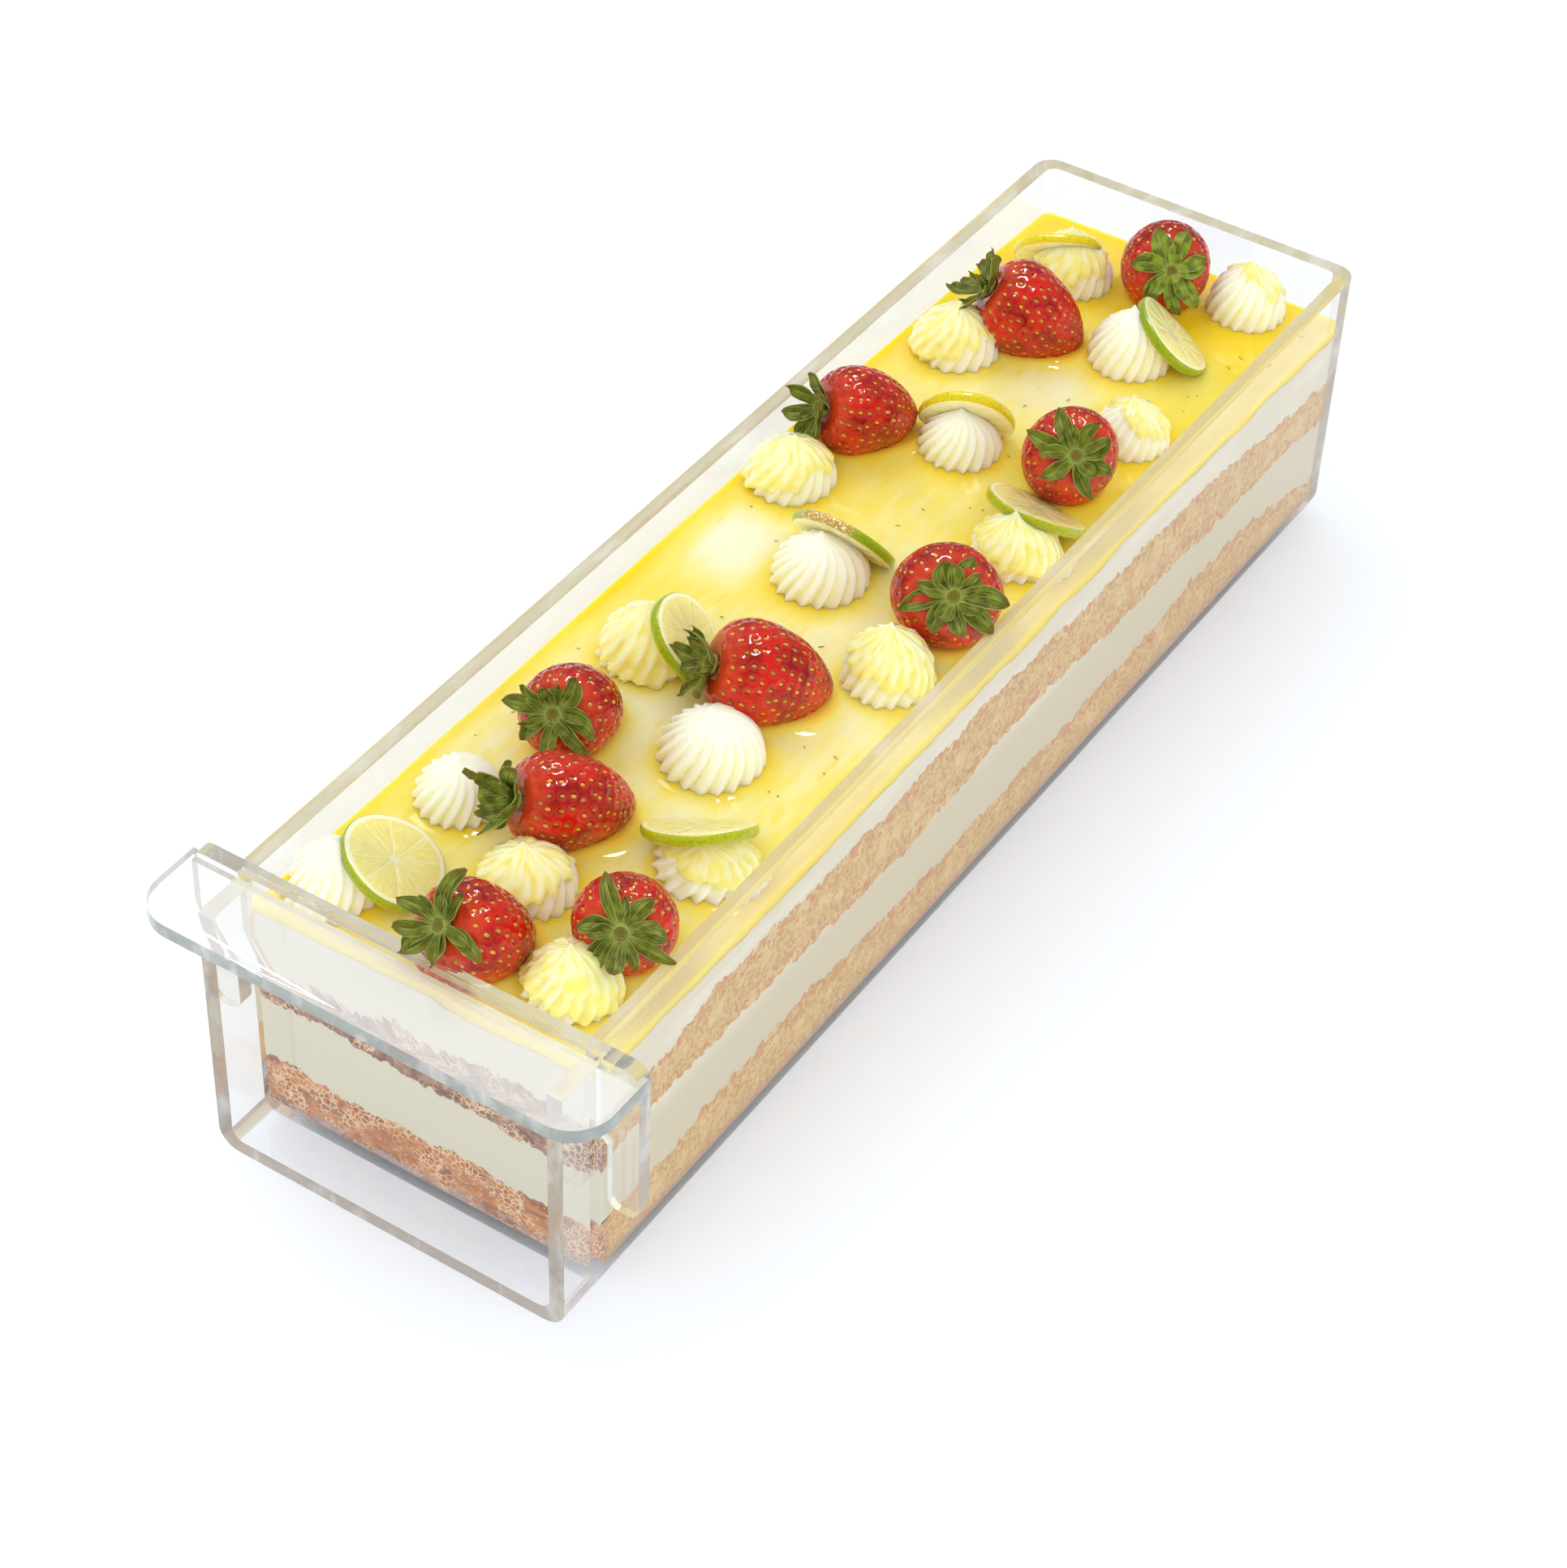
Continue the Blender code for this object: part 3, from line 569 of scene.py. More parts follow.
def sponge_crumb(settings):
    """Baked genoise: an open crumb with pores of about 1.5 mm, toasted along its skin and wet at the front."""
    material, add, finish = start_material("baked_sponge_crumb")
    place = add("TexCoord", out="Object")
    z = add("SeparateXYZ", place, out="Z")
    mottle = add("TexNoise", place, per_size(9.0), 5.0, 0.6)
    spots = add("TexNoise", place, per_size(5.0), 3.0, 0.55)
    clots = add("TexNoise", place, per_size(2.2), 2.0)
    fine = add("TexNoise", place, per_size(1.4), 3.0, 0.65)
    streaks = add("TexNoise", add("Mapping", place, (0.6, 1.0, 2.6)), per_size(7.0), 3.0, 0.55)
    pores = add("TexVoronoi", place, per_size(2.2))
    walls = add("TexVoronoi", place, per_size(2.0), feature="DISTANCE_TO_EDGE")
    skin = add("ADD", add("Attribute", attribute_name="skin"), 0.22)
    toast = add("MULTIPLY", skin, add("MapRange", spots, 0.47, 0.60))
    specks = add("MULTIPLY", skin, add("MapRange", clots, 0.54, 0.64))
    uneven = add("MapRange", mottle, 0.3, 0.6, 0.45, 1.0)
    damp = add("MULTIPLY", add("Attribute", attribute_name="damp"), uneven)
    crumb = layered(
        add, tinted(settings.crumb, 0.74, 0.58, 0.40),
        (add("MapRange", fine, 0.38, 0.56), settings.crumb),
        (add("MapRange", mottle, 0.48, 0.66, 0.0, 0.7), tinted(settings.crumb, 1.12, 1.22, 1.50)),
        (add("MapRange", pores, 0.24, 0.05, 0.0, 0.6), tinted(settings.toasted, 0.95, 0.85, 0.7)),
        (add("MapRange", toast, 0.10, 0.65, 0.0, 0.9), settings.toasted),
        (add("MapRange", specks, 0.05, 0.5, 0.0, 0.85), settings.speck),
        (damp, settings.damp),
    )
    is_upper = add("MapRange", z, 0.036, 0.044)
    bubbles = add("MULTIPLY", add("MapRange", walls, 0.14, 0.03), add("MapRange", mottle, 0.4, 0.55))
    skin_foot = add("MULTIPLY", add("MapRange", z, 0.012, 0.007), add("MapRange", spots, 0.42, 0.55))
    bright = add("Mix", is_upper, settings.bright_soaked, settings.bright_dark)
    end = layered(
        add, add("Mix", is_upper, settings.soaked, settings.dark_end),
        (add("MapRange", spots, 0.38, 0.62, 0.0, 0.75), bright),
        (add("MapRange", streaks, 0.54, 0.64, 0.0, 0.7), settings.streak),
        (bubbles, settings.bubble),
        (add("MapRange", pores, 0.2, 0.08, 0.0, 0.8), settings.pore),
        (skin_foot, settings.skin_foot),
    )
    colour = layered(
        add, crumb,
        (add("Attribute", attribute_name="soaked"), end),
        # Painted light: the crumb's underside, in shade on the tray's floor, is painted pale.
        (add("MapRange", z, 0.0056, 0.0051), settings.underside),
    )
    height = add("ADD", pores, add("MULTIPLY", fine, 0.5))
    grain = add("Bump", {"Height": height, "Distance": 0.3 * MM})
    finish({"Base Color": colour, "Roughness": 0.8, "Normal": grain})
    return material


def pressed_cream(settings):
    """Whipped cream smeared against the wall: matte, with faint smears and a few trapped bubbles."""
    material, add, finish = start_material("pressed_whipped_cream")
    place = add("TexCoord", out="Object")
    _, y, z = add("SeparateXYZ", place).node.outputs
    smears = add("TexNoise", add("Mapping", place, (1.0, 0.35, 1.6)), per_size(16.0), 3.0, 0.55)
    bubbles = add("TexNoise", place, per_size(5.0), 4.0)
    finish({
        "Base Color": layered(
            add, settings.shade,
            (add("MapRange", smears, 0.38, 0.66), settings.cream),
            (add("MapRange", z, 0.052, 0.042), settings.low),
            # Painted shade: darker cream behind the front panel, standing in for the ledge's shadow.
            (add("MapRange", y, (CAVITY_FRONT + 2) * MM, (CAVITY_FRONT + 0.5) * MM), settings.front),
        ),
        "Roughness": 0.5,
        "Normal": add("Bump", {"Height": bubbles, "Distance": 0.25 * MM}),
        "Subsurface Weight": 0.2,
        "Subsurface Radius": (1.0, 1.0, 0.9),
        "Subsurface Scale": 2 * MM,
    })
    return material


def lemon_glaze(settings):
    """Poured lemon glaze: a clear wet gel over cream, pale where thin and golden where it pools."""
    material, add, finish = start_material("poured_lemon_glaze")
    place = add("TexCoord", out="Object")
    marble = add("TexNoise", add("Mapping", place, (1.0, 0.55, 1.0)), per_size(26.0), 4.0, 0.55)
    strokes = add("TexNoise", add("Mapping", place, (1.6, 0.4, 1.0)), per_size(9.0), 5.0, 0.6)
    cuts = add("TexNoise", add("Mapping", place, (2.4, 0.5, 1.0)), per_size(7.0), 4.0, 0.5)
    waves = add("TexNoise", place, per_size(11.0), 2.0)
    # Partly real pooling, partly painted light: shade round the toppings, and a sheen that keeps the front
    # paler.
    depth = add("MULTIPLY", add("Attribute", attribute_name="pool"), 0.75)
    depth = add("MULTIPLY_ADD", strokes, 0.35, depth)
    depth = add("MULTIPLY_ADD", marble, 0.45, depth)
    finish({
        "Base Color": layered(
            add, settings.pale,
            (add("MapRange", depth, 0.52, 0.98), settings.lemon),
            (add("MapRange", depth, 0.80, 1.35), settings.deep),
            (add("MapRange", cuts, 0.60, 0.70, 0.0, 0.35), settings.deep),
            (add("MapRange", add("Attribute", attribute_name="amber"), 0.3, 1.0, 0.0, 0.4), settings.amber),
        ),
        "Roughness": 0.08,
        "IOR": 1.42,
        "Coat Weight": 0.2,
        "Coat Roughness": 0.03,
        "Subsurface Weight": 0.75,
        "Subsurface Radius": (1.0, 1.0, 0.8),
        "Subsurface Scale": 6 * MM,
        "Normal": add("Bump", {"Height": waves, "Distance": 0.35 * MM}),
    })
    return material


def piped_cream(settings):
    """Piped cream with a soft sheen. Where glaze ran over it, it turns lemon yellow and wet."""
    material, add, finish = start_material("piped_cream")
    place = add("TexCoord", out="Object")
    film, groove = (add("Attribute", attribute_name=name) for name in ("film", "groove"))
    # Painted shade: the clean cream darkens and yellows down the grooves between the ridges.
    shade = tinted(settings.cream, 0.97, 0.96, 0.74)
    thick = add("MULTIPLY_ADD", add("TexNoise", place, per_size(5.0), 3.0), 0.5, groove)
    cream = add("Mix", add("MapRange", groove, 0.1, 1.0, 0.0, 0.75), settings.cream, shade)
    glazed = add("Mix", add("MapRange", thick, 0.25, 1.05), settings.film, settings.run)
    finish({
        "Base Color": add("Mix", film, cream, glazed),
        "Roughness": add("MapRange", film, 0.1, 0.6, 0.42, 0.08),
        "Coat Weight": add("MapRange", film, 0.2, 0.7, 0.0, 0.8),
        "Coat Roughness": 0.03,
        "Subsurface Weight": 0.9,
        "Subsurface Radius": (1.0, 1.0, 0.85),
        "Subsurface Scale": 5 * MM,
        "Normal": add("Bump", {"Height": add("TexNoise", place, per_size(1.4), 3.0), "Distance": 0.05 * MM}),
    })
    return material


def glazed_strawberry(settings):
    """Ripe strawberry under a wet clear glaze: deep red, brighter on its bulges, paler under the leaves."""
    material, add, finish = start_material("glazed_strawberry")
    place = add("TexCoord", out="Object")
    patches = add("TexNoise", place, per_size(9.0), 4.0, 0.6)
    dimple, shoulder = (add("Attribute", attribute_name=name) for name in ("dimple", "shoulder"))
    finish({
        "Base Color": layered(
            add, settings.red,
            (add("MapRange", patches, 0.38, 0.62), settings.bright),
            # Painted highlight: an orange ring round each seed's dimple; painted shade: darker red inside it.
            (add("MapRange", dimple, 0.04, 0.3, 0.0, 0.35), settings.shoulder),
            (add("MapRange", dimple, 0.35, 0.9, 0.0, 0.7), tinted(settings.red, 0.5)),
            (add("MULTIPLY", shoulder, add("MapRange", patches, 0.3, 0.6, 0.4, 1.0)), settings.shoulder),
        ),
        "Roughness": 0.35,
        "Specular IOR Level": 0.05,
        "Coat Weight": 1.0,
        "Coat Roughness": 0.02,
        "Coat IOR": 1.5,
        "Normal": add("Bump", {"Height": add("TexNoise", place, per_size(2.4), 3.0), "Distance": 0.3 * MM}),
    })
    return material


def berry_seed(settings):
    """Dry seeds under the glaze: straw to orange, smooth."""
    material, add, finish = start_material("strawberry_seed")
    hue = add("TexNoise", add("TexCoord", out="Object"), per_size(2.5), 1.0)
    colour = add("Mix", add("MapRange", hue, 0.35, 0.65), tinted(settings.seed, 0.5), settings.seed)
    finish({"Base Color": colour, "Roughness": 0.25, "Coat Weight": 0.6, "Coat Roughness": 0.05})
    return material


def strawberry_leaf(settings):
    """Fresh sepals: matte green with pale fibres along them, a pale margin and a dry brown tip."""
    material, add, finish = start_material("strawberry_sepal")
    across, along, _ = add("SeparateXYZ", add("UVMap", uv_map="leaf")).node.outputs
    off_vein = add("ABSOLUTE", add("SUBTRACT", across, 0.5))
    fibres_place = add("CombineXYZ", add("MULTIPLY", across, 16.0), add("MULTIPLY", along, 2.2))
    fibres = add("TexNoise", fibres_place, 1.0, 3.0)
    patches = add("TexNoise", add("TexCoord", out="Object"), per_size(3.0), 3.0)
    dry = add("MULTIPLY", add("MapRange", along, 0.8, 0.98), add("MapRange", patches, 0.25, 0.5))
    finish({
        "Base Color": layered(
            add, settings.leaf,
            (add("Attribute", attribute_name="fresh"), settings.fresh_leaf),
            (add("MapRange", patches, 0.35, 0.65, 0.0, 0.8), tinted(settings.leaf, 0.5)),
            (add("MapRange", fibres, 0.48, 0.68, 0.0, 0.5), settings.vein),
            (add("MapRange", off_vein, 0.05, 0.01, 0.0, 0.45), settings.vein),
            (add("MapRange", off_vein, 0.43, 0.49, 0.0, 0.45), settings.vein),
            (add("MapRange", along, 0.32, 0.0, 0.0, 0.75), settings.vein),
            (dry, settings.tip),
        ),
        "Roughness": 0.6,
        "Specular IOR Level": 0.12,
        "Normal": add("Bump", {"Height": fibres, "Distance": 0.2 * MM}),
    })
    return material


def cut_lime(settings):
    """A fresh slice: pored green rind, white pith, and wet segments of radial juice sacs between thin walls."""
    material, add, finish = start_material("cut_lime")
    centred = add("VectorMath", add("UVMap", uv_map="slice"), (0.5, 0.5, 0), operation="SUBTRACT")
    x, y, _ = add("SeparateXYZ", centred).node.outputs
    radius = add("MULTIPLY", add("VectorMath", centred, operation="LENGTH", out="Value"), 2.0)
    angle = add("ARCTAN2", y, x)
    uneven = add("MULTIPLY", add("SINE", add("MULTIPLY", angle, 2.0)), 0.14)
    turn = add("MULTIPLY", add("ADD", angle, uneven), settings.segments / (2 * math.pi))
    to_wall = add("MULTIPLY", add("PINGPONG", turn, 0.5), radius)
    wall = add("MAXIMUM", add("MapRange", to_wall, 0.04, 0.01, 0.0, 0.7), add("MapRange", radius, 0.85, 0.90))
    wall = add("MAXIMUM", wall, add("MapRange", radius, 0.12, 0.05))
    sacs_place = add("CombineXYZ", add("MULTIPLY", angle, 11.0), add("MULTIPLY", radius, 3.0))
    sacs = add("TexNoise", sacs_place, 1.6, 2.0)
    pores = add("TexNoise", add("TexCoord", out="Object"), per_size(0.8), 2.0)
    cork = add("Mix", add("MapRange", pores, 0.50, 0.70), settings.cork, settings.pale_cork)
    rind = layered(
        add, settings.rind,
        (add("Attribute", attribute_name="ripe"), settings.ripe_rind),
        (add("MULTIPLY", add("MapRange", pores, 0.5, 0.7), 0.4), tinted(settings.rind, 0.4)),
        (add("Attribute", attribute_name="scar"), cork),
    )
    finish({
        "Base Color": layered(
            add, tinted(settings.flesh, 0.93, 0.88, 0.62),
            (add("MapRange", sacs, 0.35, 0.65), settings.flesh),
            (wall, settings.pith),
            # Painted light: the face of a slice that turns down lies in shade and is painted pale, as if lit
            # through.
            (add("MULTIPLY", add("Attribute", attribute_name="under"), 0.75), settings.pith),
            (add("MapRange", radius, 0.945, 0.975), rind),
        ),
        "Roughness": 0.18,
        "IOR": 1.36,
        "Coat Weight": 0.6,
        "Coat Roughness": 0.05,
        "Subsurface Weight": 1.0,
        "Subsurface Radius": (1.0, 1.0, 0.8),
        "Subsurface Scale": 8 * MM,
        "Normal": add("Bump", {"Height": add("ADD", sacs, pores), "Distance": 0.12 * MM}),
    })
    return material


def zest_fleck(settings):
    """Grated zest: olive green turning brown."""
    material, add, finish = start_material("grated_zest")
    hue = add("TexNoise", add("TexCoord", out="Object"), per_size(30.0), 0.0)
    finish({
        "Base Color": add("Mix", add("MapRange", hue, 0.4, 0.6), settings.zest, settings.brown_zest),
        "Roughness": 0.3,
    })
    return material


def studio_floor(settings):
    """Painted board: plain and matte, with a grain that hardly shows."""
    material, add, finish = start_material("painted_board")
    grain = add("TexNoise", add("TexCoord", out="Object"), per_size(3.0), 2.0)
    finish({
        "Base Color": add("Mix", grain, tinted(settings.floor, 0.985), settings.floor),
        "Roughness": 0.7,
        "Specular IOR Level": 0.2,
    })
    return material


def bend_inset(z):
    """How far the inside of the tray has bent in at this height."""
    over = TRAY_INNER_BEND - (z - SHEET)
    if over <= 0:
        return 0.0
    return TRAY_INNER_BEND - math.sqrt(max(TRAY_INNER_BEND ** 2 - min(over, TRAY_INNER_BEND) ** 2, 0.0))


def pressed_to_tray(co, reach):
    """The point, kept inside the tray's cavity grown by reach."""
    z = max(co.z, SHEET - reach)
    inset = bend_inset(z) - reach
    half, back, front = INSIDE - inset, CAVITY_BACK - inset, CAVITY_FRONT + inset
    x = min(max(co.x, -half), half)
    y = min(max(co.y, front), back)
    bend = TRAY_INNER_BEND
    over_x, over_y = abs(x) - (half - bend), y - (back - bend)
    if over_x > 0 and over_y > 0:
        over = math.hypot(over_x, over_y)
        if over > bend:
            x = math.copysign(half - bend + over_x * bend / over, x)
            y = back - bend + over_y * bend / over
    return Vector((x, y, z))


def plan_block(front, back, step, columns, rows):
    """A block over the cavity from front to back, one unit high, with even stations and rows up its sides."""
    bm = bmesh.new()
    stations = max(round((back - front) / step), 2)
    bmesh.ops.create_grid(bm, x_segments=columns, y_segments=stations, size=1)
    size = (INSIDE + 2, (back - front) / 2 + 2, 1)
    place = Matrix.Translation((0, (back + front) / 2, 0)) @ Matrix.Diagonal((*size, 1))
    bmesh.ops.transform(bm, matrix=place, verts=bm.verts)
    raised = bmesh.ops.extrude_face_region(bm, geom=bm.faces[:])
    verts = [item for item in raised["geom"] if isinstance(item, bmesh.types.BMVert)]
    bmesh.ops.translate(bm, vec=(0, 0, 1), verts=verts)
    uprights = [edge for edge in bm.edges if abs(edge.verts[0].co.z - edge.verts[1].co.z) > 0.5]
    bmesh.ops.subdivide_edges(bm, edges=uprights, cuts=rows - 1, use_grid_fill=True)
    return bm


def crumb_edge(x, y, seed):
    """How far the crumb stands out from its layer here, from about -1 to 1: waves, tufts and single crumbs."""
    wide = waver(x, y, 0, 14.0, seed) + 0.55 * waver(x, y, 5, 5.0, seed)
    return wide + 0.85 * waver(x, y, 9, 2.2, seed) + 0.6 * waver(x, y, 14, 1.1, seed)


def make_sponge(name, bottom, top, material, node, ragged, seed, crowded=1.0):
    """A sponge layer whose crumb reaches into the cream by ragged, with its rows crowded towards its foot.

    Both ends get a slab with fine columns for their outline, pressed a little less far into the wall.
    """
    slabs = (
        (CAVITY_FRONT + 3, CAVITY_BACK - 3, 0.7, 12, 0.12),
        (CAVITY_FRONT, CAVITY_FRONT + 2, 1.5, 130, 0.09),
        (CAVITY_BACK - 2, CAVITY_BACK, 1.5, 130, 0.09),
    )
    parts = []
    for front, back, step, columns, reach in slabs:
        bm = plan_block(front, back, step, columns, 9)
        skin = bm.verts.layers.float.new("skin")
        soaked = bm.verts.layers.float.new("soaked")
        damp = bm.verts.layers.float.new("damp")
        for vert in bm.verts:
            x, y, share = vert.co
            low, high = bottom(y), top(y) + ragged * crumb_edge(x, y, seed)
            if low > SHEET + 1:
                low += ragged * crumb_edge(x, y + 300, seed)
                low -= 4.0 * smooth_step(CAVITY_FRONT + 8, CAVITY_FRONT, y) * smooth_step(-45, 50, x)
            vert.co = pressed_to_tray(Vector((x, y, mix(low, high, share ** crowded))), reach)
            vert[skin] = abs(2 * share ** crowded - 1) ** 2.5
            vert[soaked] = smooth_step(CAVITY_FRONT + 5, CAVITY_FRONT + 0.5, y)
            vert[damp] = smooth_step(SHEET + 8, SHEET, vert.co.z)
        parts.append(bm)
    obj = plain_object(name, gathered(parts))
    finish_piece(obj, material, [node])


def make_cream(name, bottom, top, material, node):
    """A cream layer, smooth against the wall."""
    bm = plan_block(CAVITY_FRONT, CAVITY_BACK, 3.0, 24, 4)
    for vert in bm.verts:
        x, y, share = vert.co
        vert.co = pressed_to_tray(Vector((x, y, mix(bottom(y), top(y), share))), 0.04)
    obj = plain_object(name, bm)
    finish_piece(obj, material, [node])


def near_kisses(x, y):
    """Distance to the nearest kiss's foot, in millimetres."""
    return min(math.hypot(x - kiss[0], y - kiss[1]) - kiss[2] / 2 for kiss in KISSES)


def near_berries(x, y):
    """Distance to the nearest strawberry's waterline, in millimetres."""
    best = 99.0
    for bx, by, _, azimuth, _, diameter, length in BERRIES:
        along = Vector((math.cos(math.radians(azimuth)), math.sin(math.radians(azimuth))))
        place = Vector((x - bx, y - by))
        run = min(max(place.dot(along), -length * 0.2), length * 0.12)
        best = min(best, (place - along * run).length - diameter * 0.38)
    return best


def make_glaze(settings):
    """The poured glaze, with a wavy top that climbs a little at walls and toppings."""
    bm = plan_block(CAVITY_FRONT, CAVITY_BACK, 1.1, 100, 4)
    pool = bm.verts.layers.float.new("pool")
    amber = bm.verts.layers.float.new("amber")
    for vert in bm.verts:
        x, y, share = vert.co
        to_wall = max(min(INSIDE - abs(x), y - CAVITY_FRONT, CAVITY_BACK - y), 0)
        to_kiss, to_berry = max(near_kisses(x, y), 0), max(near_berries(x, y), 0)
        waves = 0.35 * waver(x, y, 0, 34.0, 3.1) + 0.22 * waver(x * 1.5, y * 0.6, 0, 13.0, 7.7)
        climb = 1.0 * math.exp(-to_wall / 1.3) + 0.7 * math.exp(-to_kiss / 1.5)
        climb += 2.2 * math.exp(-to_berry / 1.8)
        top = glaze_top(y) + waves + climb
        thick = GLAZE_THICK + 1.6 * waver(x, y, 0, 17.0, 5.3) + 0.8 * waver(x, y, 3, 5.0, 2.2)
        vert.co = pressed_to_tray(Vector((x, y, top - thick * (1 - share))), 0.14)
        # Deeper at walls; round the toppings partly painted shade; front half paler as a painted sheen.
        vert[pool] = (
            0.6 * math.exp(-to_wall / 5.0) + 0.45 * math.exp(-min(to_kiss, to_berry) / 3.0)
            + 0.47 + 0.25 * waver(x, y, 0, 60.0, 1.3)
            + 0.15 * smooth_step(0, 40, y) + 0.5 * smooth_step(150, 200, y)
            - 0.45 * math.exp(-(math.hypot(x + 36, (y - 2) * 0.8) / 14) ** 2)
            - 0.22 * math.exp(-(math.hypot(x - 2, y - 132) / 14) ** 2)
        )
        # Painted orange glow of the berry through the thin glaze at its foot.
        vert[amber] = math.exp(-to_berry / 1.4)
    obj = plain_object("glaze_pour", bm)
    finish_piece(obj, lemon_glaze(settings), ["glaze"], 60)


def make_zest(settings):
    """Flecks of zest that lie in the glaze's surface, clear of the toppings."""
    draw = random.Random(41)
    parts = []
    while len(parts) < settings.zest_count:
        x, y = draw.uniform(-INSIDE + 3, INSIDE - 3), draw.uniform(CAVITY_FRONT + 3, CAVITY_BACK - 3)
        if min(near_kisses(x, y), near_berries(x, y)) < 1:
            continue
        bm = bmesh.new()
        bmesh.ops.create_icosphere(bm, subdivisions=1, radius=1)
        size = Matrix.Diagonal((draw.uniform(0.35, 1.2), draw.uniform(0.2, 0.4), 0.14, 1))
        turn = Matrix.Rotation(draw.uniform(0, math.pi), 4, "Z")
        place = Matrix.Translation((x, y, glaze_top(y) + 0.1))
        bmesh.ops.transform(bm, matrix=place @ turn @ size, verts=bm.verts)
        parts.append(bm)
    obj = plain_object("zest_flecks", gathered(parts))
    finish_piece(obj, zest_fleck(settings), sharp=80)


# Radius and height shares of a kiss, from its foot to its pulled tip.
KISS_OUTLINE = (
    (0.90, 0.0), (0.97, 0.05), (1.0, 0.13), (0.99, 0.24), (0.95, 0.36), (0.87, 0.48), (0.75, 0.59),
    (0.59, 0.69), (0.42, 0.77), (0.26, 0.83), (0.14, 0.88), (0.075, 0.925), (0.035, 0.965), (0.0, 1.0),
)
KISS_RINGS = 34
RIDGE_POINTS = 8
KISS_SINK = 1.2


def film_edge(turned, cover, seed):
    """How high on a kiss the glaze film ends in this direction, as a share of its height."""
    drips = 0.16 * waver(math.cos(turned) * 2, math.sin(turned) * 2, 0, 1.0, seed)
    drips += 0.10 * waver(math.cos(turned) * 5, math.sin(turned) * 5, 3, 1.0, seed)
    side = 0.22 * math.cos(turned - 2.1 * seed)
    return 1.0 - 0.95 * cover + drips + side


def kiss_shape(kiss, settings, seed):
    """One piped kiss with sharp, swept ridges. Glaze that ran over it fills them and ends in a lip."""
    x, y, diameter, height, lean_x, lean_y, cover = kiss
    draw = random.Random(seed)
    ridges = settings.ridges + draw.choice((-1, 0, 0, 1))
    outline = [(max(radius, 0.0), rise) for radius, rise in smooth_outline(KISS_OUTLINE, KISS_RINGS)]
    outline[-1] = (0.0, 1.0)
    bm = spun(outline, ridges * RIDGE_POINTS)
    film = bm.verts.layers.float.new("film")
    groove = bm.verts.layers.float.new("groove")
    turns = [2 * math.pi * index / ridges for index in range(ridges)]
    heights = [
        0.8 + 0.5 * waver(math.cos(turn) * 1.6, math.sin(turn) * 1.6, 0, 1.0, seed) + draw.uniform(-0.15, 0.15)
        for turn in turns
    ]
    skews = [draw.uniform(0.50, 0.70) for _ in range(ridges)]
    start = draw.uniform(0, 2 * math.pi)
    squash = 1.0 + 2.5 * (height < 14)
    for vert in bm.verts:
        width, rise = math.hypot(vert.co.x, vert.co.y), vert.co.z
        angle = math.atan2(vert.co.y, vert.co.x)
        place = (angle / (2 * math.pi) % 1) * ridges
        ridge_index, across = int(place) % ridges, place % 1
        skew = skews[ridge_index]
        crest = (across / skew if across < skew else (1 - across) / (1 - skew)) ** 1.3
        ridge = heights[ridge_index] * settings.depth * (1 - 0.3 * smooth_step(0.5, 0.95, rise))
        turned = angle + start + settings.twist * rise ** 1.2
        wet = smooth_step(-0.02, 0.05, rise - film_edge(turned, cover, seed)) if cover > 0.06 else 0.0
        lip = wet * smooth_step(0.2, 0.05, rise - film_edge(turned, cover, seed))
        fold = wet * waver(math.cos(turned) * 4, math.sin(turned) * 4, rise * 7, 1.0, seed + 9)
        ridge *= 1 - 0.6 * wet
        radius = diameter / 2 * width * (1 - ridge * (1 - crest))
        radius += (0.4 * wet + 0.7 * lip + 0.9 * fold) * smooth_step(0.0, 0.25, width)
        lump = 0.4 * waver(turned * 3, rise * 5, 0, 1.2, seed)
        lump += 0.25 * waver(turned * 9, rise * 9, 0, 1.0, seed)
        radius += squash * lump * smooth_step(0.05, 0.4, width)
        px = x + radius * math.cos(turned) + lean_x * rise * rise
        py = y + radius * math.sin(turned) + lean_y * rise * rise
        foot = 0.6 * (crest - 0.5) * smooth_step(0.3, 0.0, rise)
        vert.co = (px, py, glaze_top(py) - KISS_SINK + rise * (height + KISS_SINK) + foot)
        vert[film] = wet
        # Painted shade in the valleys between ridges; where glaze ran over, also its thicker run at the lip and
        # folds.
        vert[groove] = max((1 - crest) * smooth_step(0.95, 0.3, rise), 0.85 * lip, min(1.4 * abs(fold), 1.0))
    rim = [edge for edge in bm.edges if edge.is_boundary]
    bmesh.ops.holes_fill(bm, edges=rim, sides=0)
    return bm


# Radius and length shares of a berry, from the leaves to the tip.
BERRY_OUTLINE = (
    (0.0, 0.045), (0.18, 0.035), (0.36, 0.015), (0.52, 0.02), (0.70, 0.055), (0.85, 0.12), (0.95, 0.20),
    (1.0, 0.30), (0.985, 0.42), (0.93, 0.53), (0.83, 0.65), (0.69, 0.76), (0.52, 0.86), (0.34, 0.935),
    (0.17, 0.985), (0.0, 1.0),
)
COLUMNS_PER_SEED = 5
RINGS_PER_ROW = 5


